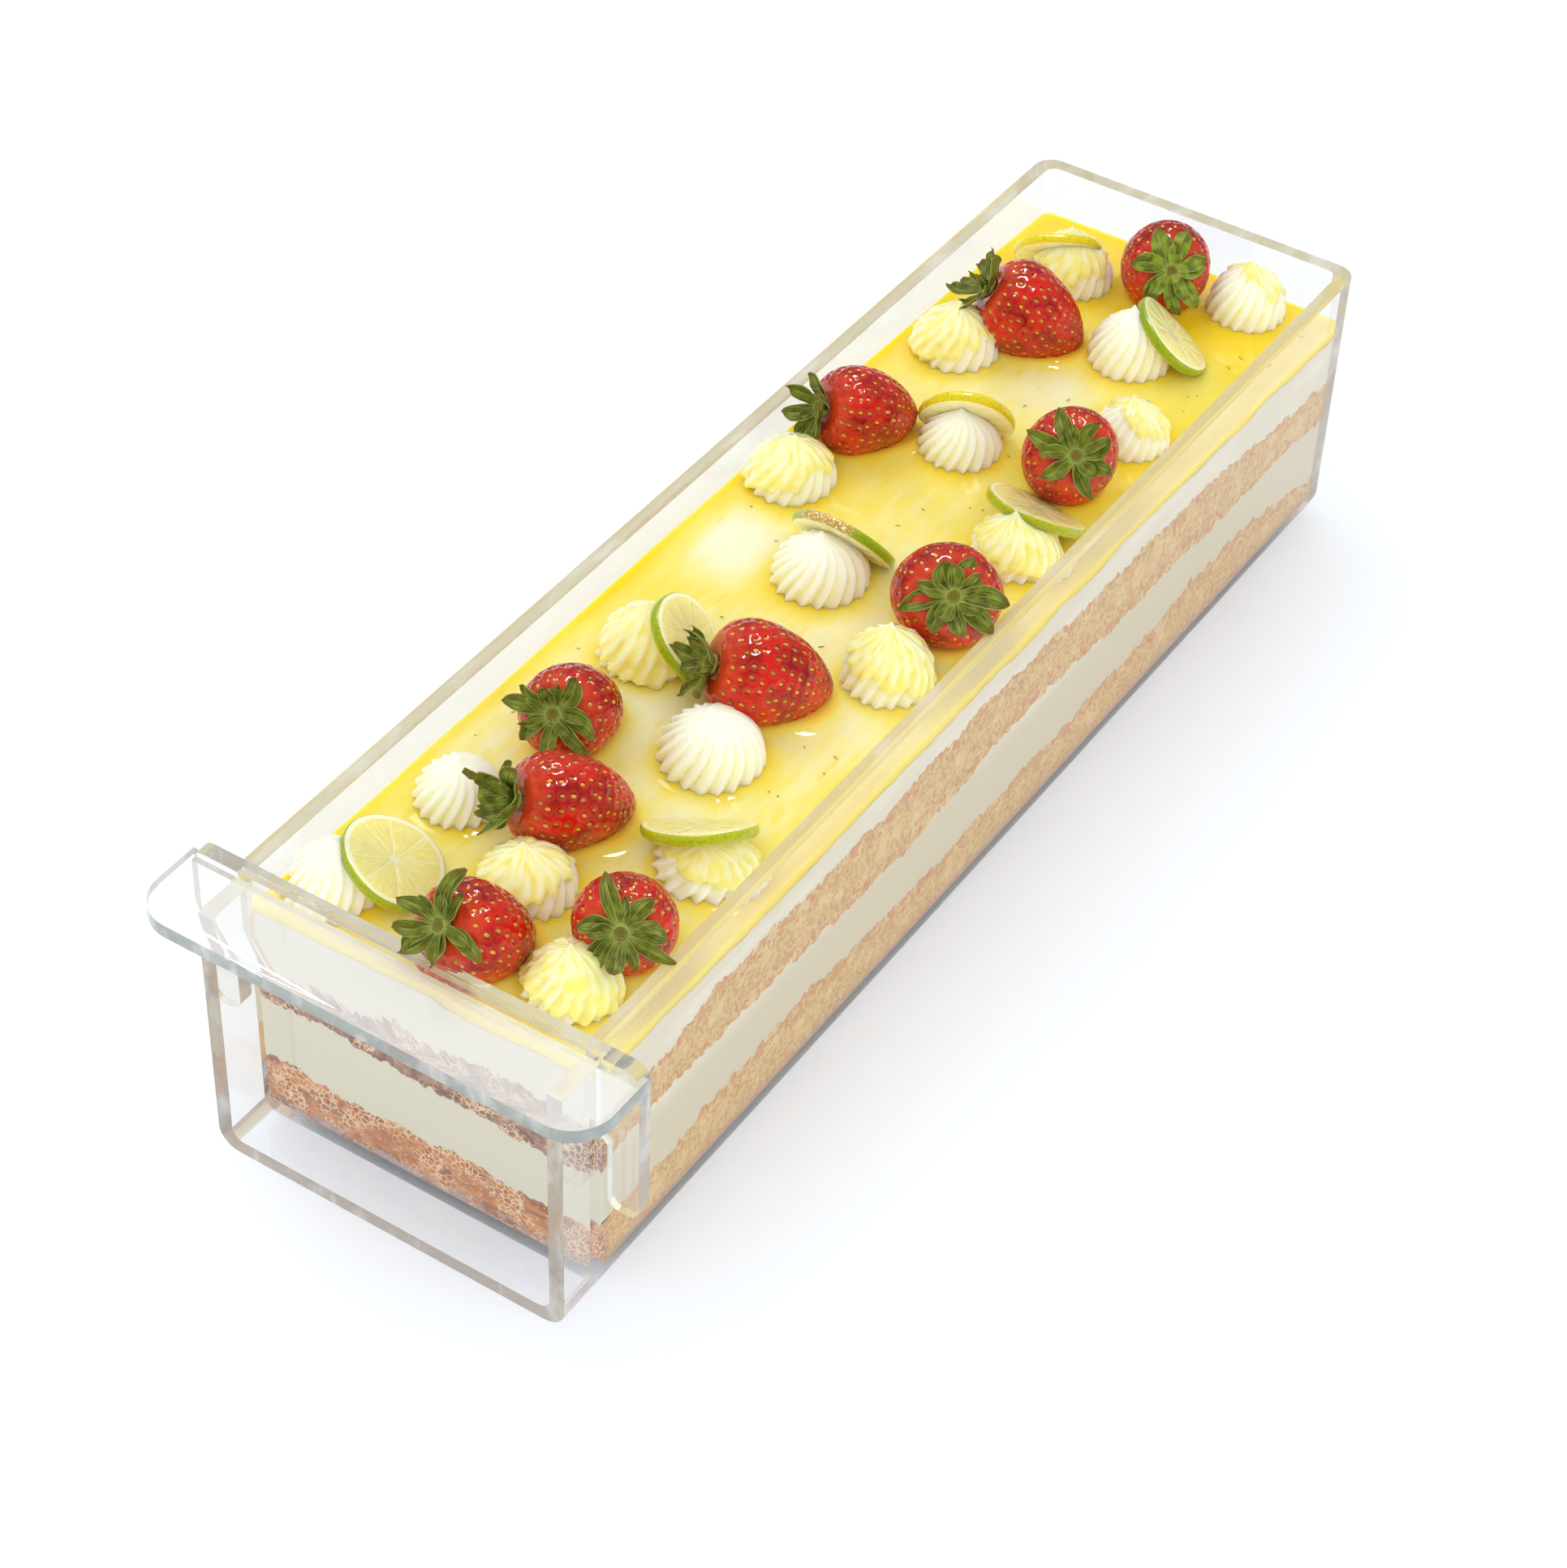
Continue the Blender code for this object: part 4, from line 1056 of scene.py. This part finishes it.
def berry_shape(berry, settings, seed):
    """One strawberry with a lattice of dimples, and the places of its seeds."""
    x, y, z, azimuth, elevation, diameter, length = berry
    rings = RINGS_PER_ROW * settings.seed_rows
    columns = settings.row_seeds * COLUMNS_PER_SEED
    curve = smooth_outline(BERRY_OUTLINE, 240)
    line = [Vector((max(u, 0.0) * diameter / 2, (0.5 - v) * length)) for u, v in curve]
    outline = [(point.x, point.y) for point in evenly_spaced(line, rings)]
    outline[0] = (0.0, outline[0][1])
    outline[-1] = (0.0, outline[-1][1])
    bm = spun(outline, columns)
    dimple = bm.verts.layers.float.new("dimple")
    shoulder = bm.verts.layers.float.new("shoulder")
    draw = random.Random(seed)
    offset = draw.uniform(0, 6)
    widest = max(radius for radius, _ in outline)
    lattice = []
    for row in range(1, settings.seed_rows):
        ring = row * RINGS_PER_ROW + 2
        radius = outline[ring][0]
        if radius < 1.5 or (radius < 0.55 * widest and ring < rings / 2):
            continue
        count = max(round(settings.row_seeds * (radius / widest) ** 0.7), 4)
        for index in range(count):
            angle = 2 * math.pi * (index + 0.5 * (row % 2)) / count + draw.uniform(-0.05, 0.05)
            lattice.append((angle, ring + draw.uniform(-0.8, 0.8)))
    arc = sum(math.dist(a, b) for a, b in zip(outline, outline[1:])) / (rings - 1)
    falling = [-height for _, height in outline]
    by_ring = {}
    for angle, ring in lattice:
        by_ring.setdefault(round(ring / 3), []).append((angle, ring))
    holders = {}
    for vert in bm.verts:
        angle = math.atan2(vert.co.y, vert.co.x)
        radius = math.hypot(vert.co.x, vert.co.y)
        ring = min(max(bisect.bisect_left(falling, -vert.co.z - 1e-4), 1), rings - 1)
        nearest, found = 9.0, None
        for key in range(round(ring / 3) - 1, round(ring / 3) + 2):
            for entry in by_ring.get(key, ()):
                turn = (angle - entry[0] + math.pi) % (2 * math.pi) - math.pi
                gap = math.hypot(turn * radius, (ring - entry[1]) * arc)
                if gap < nearest:
                    nearest, found = gap, entry
        share = 0.5 - vert.co.z / length
        depth = 0.6 * math.exp(-(nearest / 1.1) ** 2) - 0.22 * math.exp(-((nearest - 1.9) / 0.7) ** 2)
        swellings = 1 + 0.035 * math.cos(2 * angle + offset) + 0.03 * waver(*vert.co, 12.0, seed)
        outward = Vector((vert.co.x, vert.co.y, vert.co.z * 0.6)).normalized()
        vert.co = Vector((vert.co.x * swellings, vert.co.y * swellings, vert.co.z)) - outward * depth
        # Painted shade and highlight round each seed, by how near the seed is.
        vert[dimple] = math.exp(-(nearest / 1.2) ** 2)
        vert[shoulder] = smooth_step(0.14, 0.03, share)
        if found and nearest < holders.get(found, (9.0, None))[0]:
            holders[found] = (nearest, vert)
    bm.normal_update()
    seeds = [(vert.co.copy(), vert.normal.copy()) for gap, vert in holders.values() if gap < 0.8]
    matrix = placed(x, y, z, azimuth, elevation)
    bmesh.ops.transform(bm, matrix=matrix, verts=bm.verts)
    return bm, seeds, matrix


def seed_shape(co, normal, matrix, draw):
    """One seed, flat against the flesh and pointing along the berry."""
    bm = bmesh.new()
    bmesh.ops.create_uvsphere(bm, u_segments=7, v_segments=5, radius=1)
    across = Vector((0, 0, 1)).cross(normal).normalized()
    along = normal.cross(across).normalized()
    turn = Matrix((across, along, normal)).transposed().to_4x4()
    size = draw.uniform(0.85, 1.15)
    scale = Matrix.Diagonal((0.58 * size, 0.98 * size, 0.36, 1))
    place = matrix @ Matrix.Translation(co + normal * 0.06)
    bmesh.ops.transform(bm, matrix=place @ turn @ scale, verts=bm.verts)
    return bm


# Half width of a sepal along its length, as a share of the widest.
LEAF_OUTLINE = (
    (0.0, 0.42), (0.15, 0.62), (0.32, 0.88), (0.5, 1.0), (0.68, 0.94), (0.82, 0.72), (0.92, 0.44), (1.0, 0.05),
)

# How far each berry's leaves bend back from it: 0 lie on the shoulder, 1 stand off like a crown.
STAND_OFF = (0.3, 0.8, 0.75, 0.35, 0.35, 0.85, 0.45, 1.0, 0.5, 0.35)

# How fresh each berry's leaves are: 0 dull and dark, 1 bright.
FRESHNESS = (0.9, 0.2, 0.1, 0.35, 0.25, 0.35, 0.3, 0.45, 0.2, 0.2)

# How broad each berry's leaves are, as a share of the usual width.
BROADNESS = (1.2, 0.9, 1.1, 0.95, 1.2, 1.1, 1.0, 1.2, 0.9, 0.9)


def leaf_half_width(share):
    for (low, one), (high, other) in zip(LEAF_OUTLINE, LEAF_OUTLINE[1:]):
        if share <= high:
            return mix(one, other, (share - low) / (high - low))
    return LEAF_OUTLINE[-1][1]


def leaf_shape(length, width, angle, stand_off, rise, draw):
    """One sepal that starts at the stem, follows the berry's shoulder and curls off it towards its point."""
    bm = bmesh.new()
    bmesh.ops.create_grid(bm, x_segments=6, y_segments=14, size=1)
    uv = bm.loops.layers.uv.new("leaf")
    for face in bm.faces:
        for loop in face.loops:
            loop[uv].uv = ((loop.vert.co.x + 1) / 2, (loop.vert.co.y + 1) / 2)
    phase, bend = draw.uniform(0, 6), draw.uniform(-0.3, 0.3)
    fold = draw.uniform(0.1, 0.8)
    twist = draw.uniform(-0.8, 0.8)
    first = draw.uniform(-0.25, 0.05) + 0.55 * stand_off
    last = first + draw.uniform(-0.6, 0.9) + 0.5 * stand_off
    place, path = Vector((1.2, rise)), []
    steps = 42
    for step in range(steps + 1):
        path.append(place.copy())
        slope = mix(first, last, step / steps)
        place += Vector((math.cos(slope), math.sin(slope))) * length / steps
    for vert in bm.verts:
        across, share = vert.co.x, (vert.co.y + 1) / 2
        side = across * width / 2 * leaf_half_width(share)
        reach, height = path[round(share * steps)]
        ripple = 0.8 * math.sin(9 * share + phase + 1.5 * across) * abs(across) * share
        height += fold * abs(side) + ripple + twist * side * share - 0.05 * (reach / 5) ** 3 * (1 - stand_off)
        turned = angle + bend * share * share
        vert.co = (
            reach * math.cos(turned) - side * math.sin(turned),
            reach * math.sin(turned) + side * math.cos(turned),
            height,
        )
    bmesh.ops.recalc_face_normals(bm, faces=bm.faces)
    bmesh.ops.solidify(bm, geom=bm.faces[:], thickness=0.3)
    return bm


def calyx_shape(berry, settings, seed):
    """Two whorls of sepals round the hollow that the stem left."""
    x, y, z, azimuth, elevation, _, length = berry
    draw = random.Random(seed + 70)
    long, wide = settings.leaf_length / MM, settings.leaf_width / MM * BROADNESS[seed - 1]
    stand_off = STAND_OFF[seed - 1]
    parts = []
    for whorl, count, size, lift in ((0, 7, 1.0, 0.9), (1, 5, 0.72, 1.5)):
        for index in range(count):
            angle = 2 * math.pi * (index + 0.5 * whorl) / count + draw.uniform(-0.22, 0.22)
            parts.append(leaf_shape(
                long * size * draw.uniform(0.75, 1.12), wide * size * draw.uniform(0.8, 1.15), angle,
                min(max(stand_off + draw.uniform(-0.25, 0.25), 0.0), 1.1), lift, draw,
            ))
    stem = spun([(3.1, 0.6), (2.8, 1.7), (2.0, 2.3), (1.3, 2.2), (0.8, 1.6), (0.0, 1.4)], 18)
    uv = stem.loops.layers.uv.new("leaf")
    for face in stem.faces:
        for loop in face.loops:
            radius = math.hypot(loop.vert.co.x, loop.vert.co.y)
            loop[uv].uv = (0.62, 0.1 if radius > 1.5 else 0.98)
    joined = gathered(parts + [stem])
    fresh = joined.verts.layers.float.new("fresh")
    for vert in joined.verts:
        vert[fresh] = FRESHNESS[seed - 1]
    matrix = placed(x, y, z, azimuth, elevation) @ Matrix.Translation((0, 0, length * 0.475))
    bmesh.ops.transform(joined, matrix=matrix, verts=joined.verts)
    return joined


def lime_shape(lime, settings, seed):
    """One slice: segments that stand a little proud of their walls, and a rounded rind."""
    x, y, z, azimuth, elevation, diameter, ripe_share, scar_angle = lime
    radius, half = diameter / 2, settings.thickness / MM / 2
    rings = 22
    face = [(radius * 0.965 * index / rings, half) for index in range(rings + 1)]
    turns = [step * math.pi / 6 for step in range(1, 6)]
    rim = [(radius * (0.965 + 0.035 * math.sin(turn)), half * math.cos(turn)) for turn in turns]
    bm = spun(face + rim + [(r, -h) for r, h in reversed(face)], settings.segments * 10)
    ripe = bm.verts.layers.float.new("ripe")
    scar = bm.verts.layers.float.new("scar")
    under = bm.verts.layers.float.new("under")
    uv = bm.loops.layers.uv.new("slice")
    for bm_face in bm.faces:
        for loop in bm_face.loops:
            place = loop.vert.co
            loop[uv].uv = (place.x / radius / 2 + 0.5, place.y / radius / 2 + 0.5)
    draw = random.Random(seed + 30)
    warp = draw.uniform(0, 6)
    for vert in bm.verts:
        angle = math.atan2(vert.co.y, vert.co.x)
        out = math.hypot(vert.co.x, vert.co.y) / radius
        wall = abs(((angle + 0.14 * math.sin(2 * angle)) / (2 * math.pi) * settings.segments) % 1 - 0.5) * 2
        bulge = (1 - wall ** 4) * smooth_step(0.08, 0.3, out) * smooth_step(0.9, 0.78, out)
        side = math.copysign(1, vert.co.z) if abs(vert.co.z) > half * 0.9 else 0
        cup = 0.5 * math.cos(2 * angle + warp) * out * out
        vert.co.z += side * 0.28 * bulge + cup
        stretch = 1 + 0.02 * math.cos(3 * angle + warp)
        vert.co.x *= stretch
        vert.co.y *= stretch
        vert[ripe] = ripe_share
        # Marks the face turned down, which gets pale painted light.
        vert[under] = float((vert.co.z > 0) == (elevation < 0))
        if scar_angle is not None:
            turn = (math.degrees(angle) - scar_angle + 180) % 360 - 180
            vert[scar] = smooth_step(38, 26, abs(turn))
    bmesh.ops.transform(bm, matrix=placed(x, y, z, azimuth, elevation), verts=bm.verts)
    return bm


def bent_tray_edge(one, other):
    """True on the outer box's long and back bottom edges and its back upright edges."""
    along_bottom = one.z < 1 and other.z < 1
    at_front = one.y < TRAY_LOW.y + 1 and other.y < TRAY_LOW.y + 1
    upright_at_back = one.y > TRAY_HIGH.y - 1 and other.y > TRAY_HIGH.y - 1 and one.x * other.x > 0
    return (along_bottom and not at_front) or upright_at_back


def bent_cavity_edge(one, other):
    along_bottom = one.z < SHEET + 1 and other.z < SHEET + 1
    upright_at_back = one.y > CAVITY_BACK - 1 and other.y > CAVITY_BACK - 1 and one.x * other.x > 0
    return along_bottom or upright_at_back


def bent_recess_edge(one, other):
    return one.z < SHEET + 1 and other.z < SHEET + 1 and one.x * other.x > 0


def finish_faces(obj, material, is_picked):
    """Gives another material to the faces picked by their place in millimetres and their normal."""
    obj.data.materials.append(material)
    for face in obj.data.polygons:
        if is_picked(face.center / MM, face.normal):
            face.material_index = len(obj.data.materials) - 1


def polish(obj, width):
    """Rounds the sharp edges of cut sheet."""
    bevel = obj.modifiers.new("polish", "BEVEL")
    bevel.width = width
    bevel.segments = 3
    bevel.limit_method = "ANGLE"
    bevel.angle_limit = math.radians(50)
    bake_modifiers(obj)
    obj.data.shade_smooth()
    obj.data.set_sharp_from_angle(angle=math.radians(50))
    flat = obj.modifiers.new("flat", "WEIGHTED_NORMAL")
    flat.weight = 100
    flat.keep_sharp = True
    bake_modifiers(obj)


def rounded_outline(corners, steps=10):
    """The points of a closed outline whose corners (u, v, radius) are turned into arcs."""
    points = []
    for index, (u, v, radius) in enumerate(corners):
        corner = Vector((u, v))
        if radius == 0:
            points.append(corner)
            continue
        before = (Vector(corners[index - 1][:2]) - corner).normalized()
        after = (Vector(corners[(index + 1) % len(corners)][:2]) - corner).normalized()
        half = before.angle(after) / 2
        centre = corner + (before + after).normalized() * radius / math.sin(half)
        start = corner + before * radius / math.tan(half) - centre
        turn = start.angle_signed(corner + after * radius / math.tan(half) - centre)
        points += [centre + Matrix.Rotation(-turn * step / steps, 2) @ start for step in range(steps + 1)]
    return points


def mirrored(half):
    """A closed outline from its right half, listed from top to bottom."""
    return list(half) + [(-u, v, radius) for u, v, radius in reversed(half)]


def drawn_out(outline, start, travel):
    """The outline's face, placed by start and drawn out along travel."""
    bm = bmesh.new()
    face = bm.faces.new([bm.verts.new(start(u, v)) for u, v in outline])
    raised = bmesh.ops.extrude_face_region(bm, geom=[face], use_keep_orig=True)
    verts = [item for item in raised["geom"] if isinstance(item, bmesh.types.BMVert)]
    bmesh.ops.translate(bm, vec=travel, verts=verts)
    return bm


class CakeOperator(bpy.types.Operator):
    """Shared base of the cake's operators."""

    bl_options = {"REGISTER", "UNDO"}

    def execute(self, context):
        self.make(context.scene)
        return {"FINISHED"}


class CAKE_OT_tray(CakeOperator):
    """Model the clear tray with its set-back front panel"""

    bl_idname = "cake.tray"
    bl_label = "Clear tray"

    def make(self, scene):
        settings = scene.cake_tray
        bm = block(TRAY_LOW, TRAY_HIGH, bent_tray_edge, TRAY_OUTER_BEND)
        bmesh.ops.bisect_plane(
            bm, geom=bm.verts[:] + bm.edges[:] + bm.faces[:],
            plane_co=(0, TRAY_HIGH.y - BACK_BAND, 0), plane_no=(0, 1, 0),
        )
        tray = plain_object("clear_tray", bm)
        over = TRAY_HIGH.z + 20
        boolean(tray, block(
            (-INSIDE, CAVITY_FRONT, SHEET), (INSIDE, CAVITY_BACK, over), bent_cavity_edge, TRAY_INNER_BEND
        ), "DIFFERENCE")
        boolean(tray, block(
            (-INSIDE, TRAY_LOW.y - 20, SHEET), (INSIDE, PANEL_FACE, over), bent_recess_edge, TRAY_INNER_BEND
        ), "DIFFERENCE")
        boolean(tray, block(
            (-SIDE - 10, TRAY_LOW.y - 10, LEDGE_BOTTOM - FIT), (SIDE + 10, CAVITY_FRONT + FIT, over)
        ), "DIFFERENCE")
        polish(tray, settings.polish / MM)
        sheet = clear_acrylic(settings, "cast_acrylic_sheet", 0.97)
        finish_piece(tray, sheet, ["tray"], sharp=0)
        scuffed = clear_acrylic(settings, "scuffed_acrylic_underside", 0.6, settings.scuffed_tint)
        finish_faces(tray, scuffed, lambda place, normal: place.z < 0.5 and normal.z < -0.9)
        finish_faces(tray, sawn_acrylic(settings), lambda place, normal: (
            (normal.z > 0.5 and place.z > SHEET + 5)
            or (normal.y < -0.5 and place.y < TRAY_LOW.y + 2)
            or (place.z < 6 and normal.z < -0.05 and abs(normal.x) > 0.3)
            or (place.y > TRAY_HIGH.y - BACK_BAND and normal.x > 0.15 and place.x > SIDE - TRAY_OUTER_BEND)
        ))


class CAKE_OT_handle(CakeOperator):
    """Model the handle: a ledge joined to the plate that straddles the tray"""

    bl_idname = "cake.handle"
    bl_label = "Handle"

    def make(self, scene):
        settings = scene.cake_tray
        outer = SIDE + FIT
        plate_half = (
            (PLATE_HALF, HANDLE_HIGH.z, 4.5),
            (PLATE_HALF, EAR_BOTTOM, 4.0),
            (EAR_INNER, EAR_BOTTOM, 4.0),
            (EAR_INNER, SHOULDER_BOTTOM, 0),
            (outer, SHOULDER_BOTTOM + 3, 0),
            (outer, LEDGE_BOTTOM, 0),
        )
        ledge_half = ((HANDLE_HIGH.x, PANEL_FACE + 2.5, 0), (HANDLE_HIGH.x, HANDLE_LOW.y, LEDGE_CORNER))
        plate = drawn_out(rounded_outline(mirrored(plate_half)), lambda u, v: (u, PANEL_FACE, v), (0, SHEET, 0))
        ledge = drawn_out(
            rounded_outline(mirrored(ledge_half)), lambda u, v: (u, v, LEDGE_BOTTOM), (0, 0, LEDGE_THICK)
        )
        handle = plain_object("clear_handle", plate)
        boolean(handle, ledge, "UNION")
        polish(handle, settings.polish / MM)
        finish_piece(handle, bpy.data.materials["cast_acrylic_sheet"], ["handle"], sharp=0)
        finish_faces(handle, bpy.data.materials["sawn_acrylic_edge"], lambda place, normal: (
            abs(normal.z) < 0.8 if place.y < PANEL_FACE - 1 else abs(normal.y) < 0.8 and abs(place.x) > SIDE + 2
        ))
        finish_faces(handle, clear_acrylic(settings, "rubbed_acrylic_ledge", 0.75), lambda place, normal: (
            abs(normal.z) >= 0.8 and place.y < PANEL_FACE - 1
        ))


class CAKE_OT_sponges(CakeOperator):
    """Model the two sponge layers with their ragged crumb"""

    bl_idname = "cake.sponges"
    bl_label = "Sponges"

    def make(self, scene):
        settings = scene.cake_sponge
        material = sponge_crumb(settings)
        ragged = settings.ragged / MM
        make_sponge(
            "sponge_base", lambda y: SHEET - 0.1, lower_sponge_top, material, "sponge_lower", ragged, 1.7, 1.9
        )
        make_sponge(
            "sponge_middle", upper_sponge_bottom, upper_sponge_top, material, "sponge_upper", ragged, 4.1
        )


class CAKE_OT_creams(CakeOperator):
    """Model the two cream layers that fill round the sponges"""

    bl_idname = "cake.creams"
    bl_label = "Cream layers"

    def make(self, scene):
        material = pressed_cream(scene.cake_cream)
        under = 5.0
        make_cream(
            "cream_filling", lambda y: lower_sponge_top(y) - under, lambda y: upper_sponge_bottom(y) + under,
            material, "cream_lower",
        )
        make_cream(
            "cream_cover", lambda y: upper_sponge_top(y) - under, lambda y: glaze_top(y) - 0.6,
            material, "cream_upper",
        )


class CAKE_OT_glaze(CakeOperator):
    """Pour the lemon glaze and scatter its zest"""

    bl_idname = "cake.glaze"
    bl_label = "Lemon glaze"

    def make(self, scene):
        settings = scene.cake_glaze
        make_glaze(settings)
        make_zest(settings)


class CAKE_OT_kisses(CakeOperator):
    """Pipe the cream kisses"""

    bl_idname = "cake.kisses"
    bl_label = "Piped kisses"

    def make(self, scene):
        settings = scene.cake_kiss
        parts = [kiss_shape(kiss, settings, index) for index, kiss in enumerate(KISSES, 1)]
        obj = plain_object("piped_kisses", gathered(parts))
        finish_piece(obj, piped_cream(settings), numbered("kiss", len(KISSES)), 70)


class CAKE_OT_strawberries(CakeOperator):
    """Model the strawberries and their seeds"""

    bl_idname = "cake.strawberries"
    bl_label = "Strawberries"

    def make(self, scene):
        settings = scene.cake_strawberry
        draw = random.Random(5)
        berries, seeds = [], []
        for index, berry in enumerate(BERRIES, 1):
            flesh, places, matrix = berry_shape(berry, settings, index)
            berries.append(flesh)
            seeds += [seed_shape(co, normal, matrix, draw) for co, normal in places]
        obj = plain_object("strawberries", gathered(berries))
        nodes = numbered("strawberry", len(BERRIES))
        finish_piece(obj, glazed_strawberry(settings), nodes, 80)
        obj = plain_object("strawberry_seeds", gathered(seeds))
        finish_piece(obj, berry_seed(settings), sharp=80)


class CAKE_OT_calyxes(CakeOperator):
    """Model the leaves and stem stubs of the strawberries"""

    bl_idname = "cake.calyxes"
    bl_label = "Strawberry leaves"

    def make(self, scene):
        settings = scene.cake_calyx
        parts = [calyx_shape(berry, settings, index) for index, berry in enumerate(BERRIES, 1)]
        obj = plain_object("strawberry_leaves", gathered(parts))
        finish_piece(obj, strawberry_leaf(settings), numbered("calyx", len(BERRIES)), 60)


class CAKE_OT_limes(CakeOperator):
    """Cut the lime slices"""

    bl_idname = "cake.limes"
    bl_label = "Lime slices"

    def make(self, scene):
        settings = scene.cake_lime
        parts = [lime_shape(lime, settings, index) for index, lime in enumerate(LIMES, 1)]
        obj = plain_object("lime_slices", gathered(parts))
        finish_piece(obj, cut_lime(settings), numbered("lime", len(LIMES)), 50)


# The photograph's view, in millimetres and degrees, and its 36 mm wide lens.
CAMERA_PLACE = (438.7, -735.4, 782.2)
CAMERA_AZIMUTH = 31.55
CAMERA_ELEVATION = 42.23
CAMERA_ROLL = 2.53
CAMERA_LENS = 84.6


# Each box's name, size and place in metres.
SOFTBOXES = (
    ("key", 0.9, (-0.9, 0.3, 1.5)),
    ("back", 0.6, (-0.83, 0.85, 1.4)),
    ("fill", 1.0, (0.6, -1.05, 1.35)),
)
GLINTS = (("left_glint", 0.4, (-0.9, 0.3, 1.5)), ("overhead_glint", 0.5, (-0.22, 0.38, 1.65)))
SKY = (0.95, 0.97, 1.0)


def add_softbox(name, watts, size, place):
    """A square soft light of this size at place, both in metres, that points at the cake."""
    light = bpy.data.lights.new(name, "AREA")
    light.energy = watts
    light.size = size
    obj = bpy.data.objects.new(name, light)
    obj.location = place
    obj.rotation_euler = (Vector((0, 0, 0.06)) - Vector(place)).to_track_quat("-Z", "Y").to_euler()
    bpy.context.scene.collection.objects.link(obj)
    return obj


class CAKE_OT_studio(CakeOperator):
    """Set up the pale floor, the soft lights and the camera"""

    bl_idname = "cake.studio"
    bl_label = "Studio"

    def make(self, scene):
        settings = scene.cake_studio
        bm = bmesh.new()
        bmesh.ops.create_grid(bm, x_segments=1, y_segments=1, size=6)
        bmesh.ops.translate(bm, vec=(0, 0, -UNDER_TRAY * MM), verts=bm.verts)
        floor = plain_object("floor", bm)
        floor.data.materials.append(studio_floor(settings))
        world = bpy.data.worlds.new("white_studio")
        world.use_nodes = True
        tree = world.node_tree
        add = partial(add_node, tree)
        sky = tree.nodes["Background"]
        fill(tree, sky, {"Color": SKY, "Strength": settings.sky})
        mirrored_room = add("Background", {"Color": SKY, "Strength": settings.mirrored_room})
        path = add("LightPath").node.outputs
        is_mirrored = add("SUBTRACT", path["Is Glossy Ray"], path["Is Transmission Ray"], use_clamp=True)
        seen = add("MixShader", is_mirrored, sky.outputs["Background"], mirrored_room)
        tree.links.new(seen, tree.nodes["World Output"].inputs["Surface"])
        scene.world = world
        for name, size, place in SOFTBOXES:
            box = add_softbox(name + "_softbox", getattr(settings, name + "_watts"), size, place)
            box.visible_glossy = False
            box.visible_transmission = False
        for name, size, place in GLINTS:
            box = add_softbox(name, settings.glint * size ** 2, size, place)
            box.visible_diffuse = False
            box.visible_transmission = False
        camera = bpy.data.cameras.new("camera")
        camera.sensor_fit = "HORIZONTAL"
        camera.sensor_width = 36
        camera.lens = CAMERA_LENS
        obj = bpy.data.objects.new("camera", camera)
        turns = ((CAMERA_AZIMUTH, "Z"), (90 - CAMERA_ELEVATION, "X"), (CAMERA_ROLL, "Z"))
        matrix = Matrix.Translation(Vector(CAMERA_PLACE) * MM)
        for degrees, axis in turns:
            matrix = matrix @ Matrix.Rotation(math.radians(degrees), 4, axis)
        obj.matrix_world = matrix
        scene.collection.objects.link(obj)
        scene.camera = obj
        scene.view_settings.view_transform = "Standard"
        scene.cycles.max_bounces = 28
        scene.cycles.transmission_bounces = 24
        scene.cycles.glossy_bounces = 24


SETTINGS = {
    "cake_tray": TraySettings,
    "cake_sponge": SpongeSettings,
    "cake_cream": CreamSettings,
    "cake_glaze": GlazeSettings,
    "cake_kiss": KissSettings,
    "cake_strawberry": StrawberrySettings,
    "cake_calyx": CalyxSettings,
    "cake_lime": LimeSettings,
    "cake_studio": StudioSettings,
}
OPERATORS = (
    CAKE_OT_tray,
    CAKE_OT_handle,
    CAKE_OT_sponges,
    CAKE_OT_creams,
    CAKE_OT_glaze,
    CAKE_OT_kisses,
    CAKE_OT_strawberries,
    CAKE_OT_calyxes,
    CAKE_OT_limes,
    CAKE_OT_studio,
)


class CAKE_PT_panel(bpy.types.Panel):
    """Lists the cake's pieces and their sizes and colours."""

    bl_idname = "CAKE_PT_panel"
    bl_label = "Lemon Cream Cake"
    bl_space_type = "VIEW_3D"
    bl_region_type = "UI"
    bl_category = "Cake"

    def draw(self, context):
        for operator in OPERATORS:
            self.layout.operator(operator.bl_idname)
        for name, settings in SETTINGS.items():
            box = self.layout.box()
            for key in settings.__annotations__:
                box.prop(getattr(context.scene, name), key)


def register():
    for cls in (*SETTINGS.values(), *OPERATORS, CAKE_PT_panel):
        bpy.utils.register_class(cls)
    for name, settings in SETTINGS.items():
        setattr(bpy.types.Scene, name, PointerProperty(type=settings))


def unregister():
    for name in SETTINGS:
        delattr(bpy.types.Scene, name)
    for cls in reversed((*SETTINGS.values(), *OPERATORS, CAKE_PT_panel)):
        bpy.utils.unregister_class(cls)


def main():
    register()
    for operator in OPERATORS:
        group, name = operator.bl_idname.split(".")
        getattr(getattr(bpy.ops, group), name)()


if __name__ == "__main__":
    main()
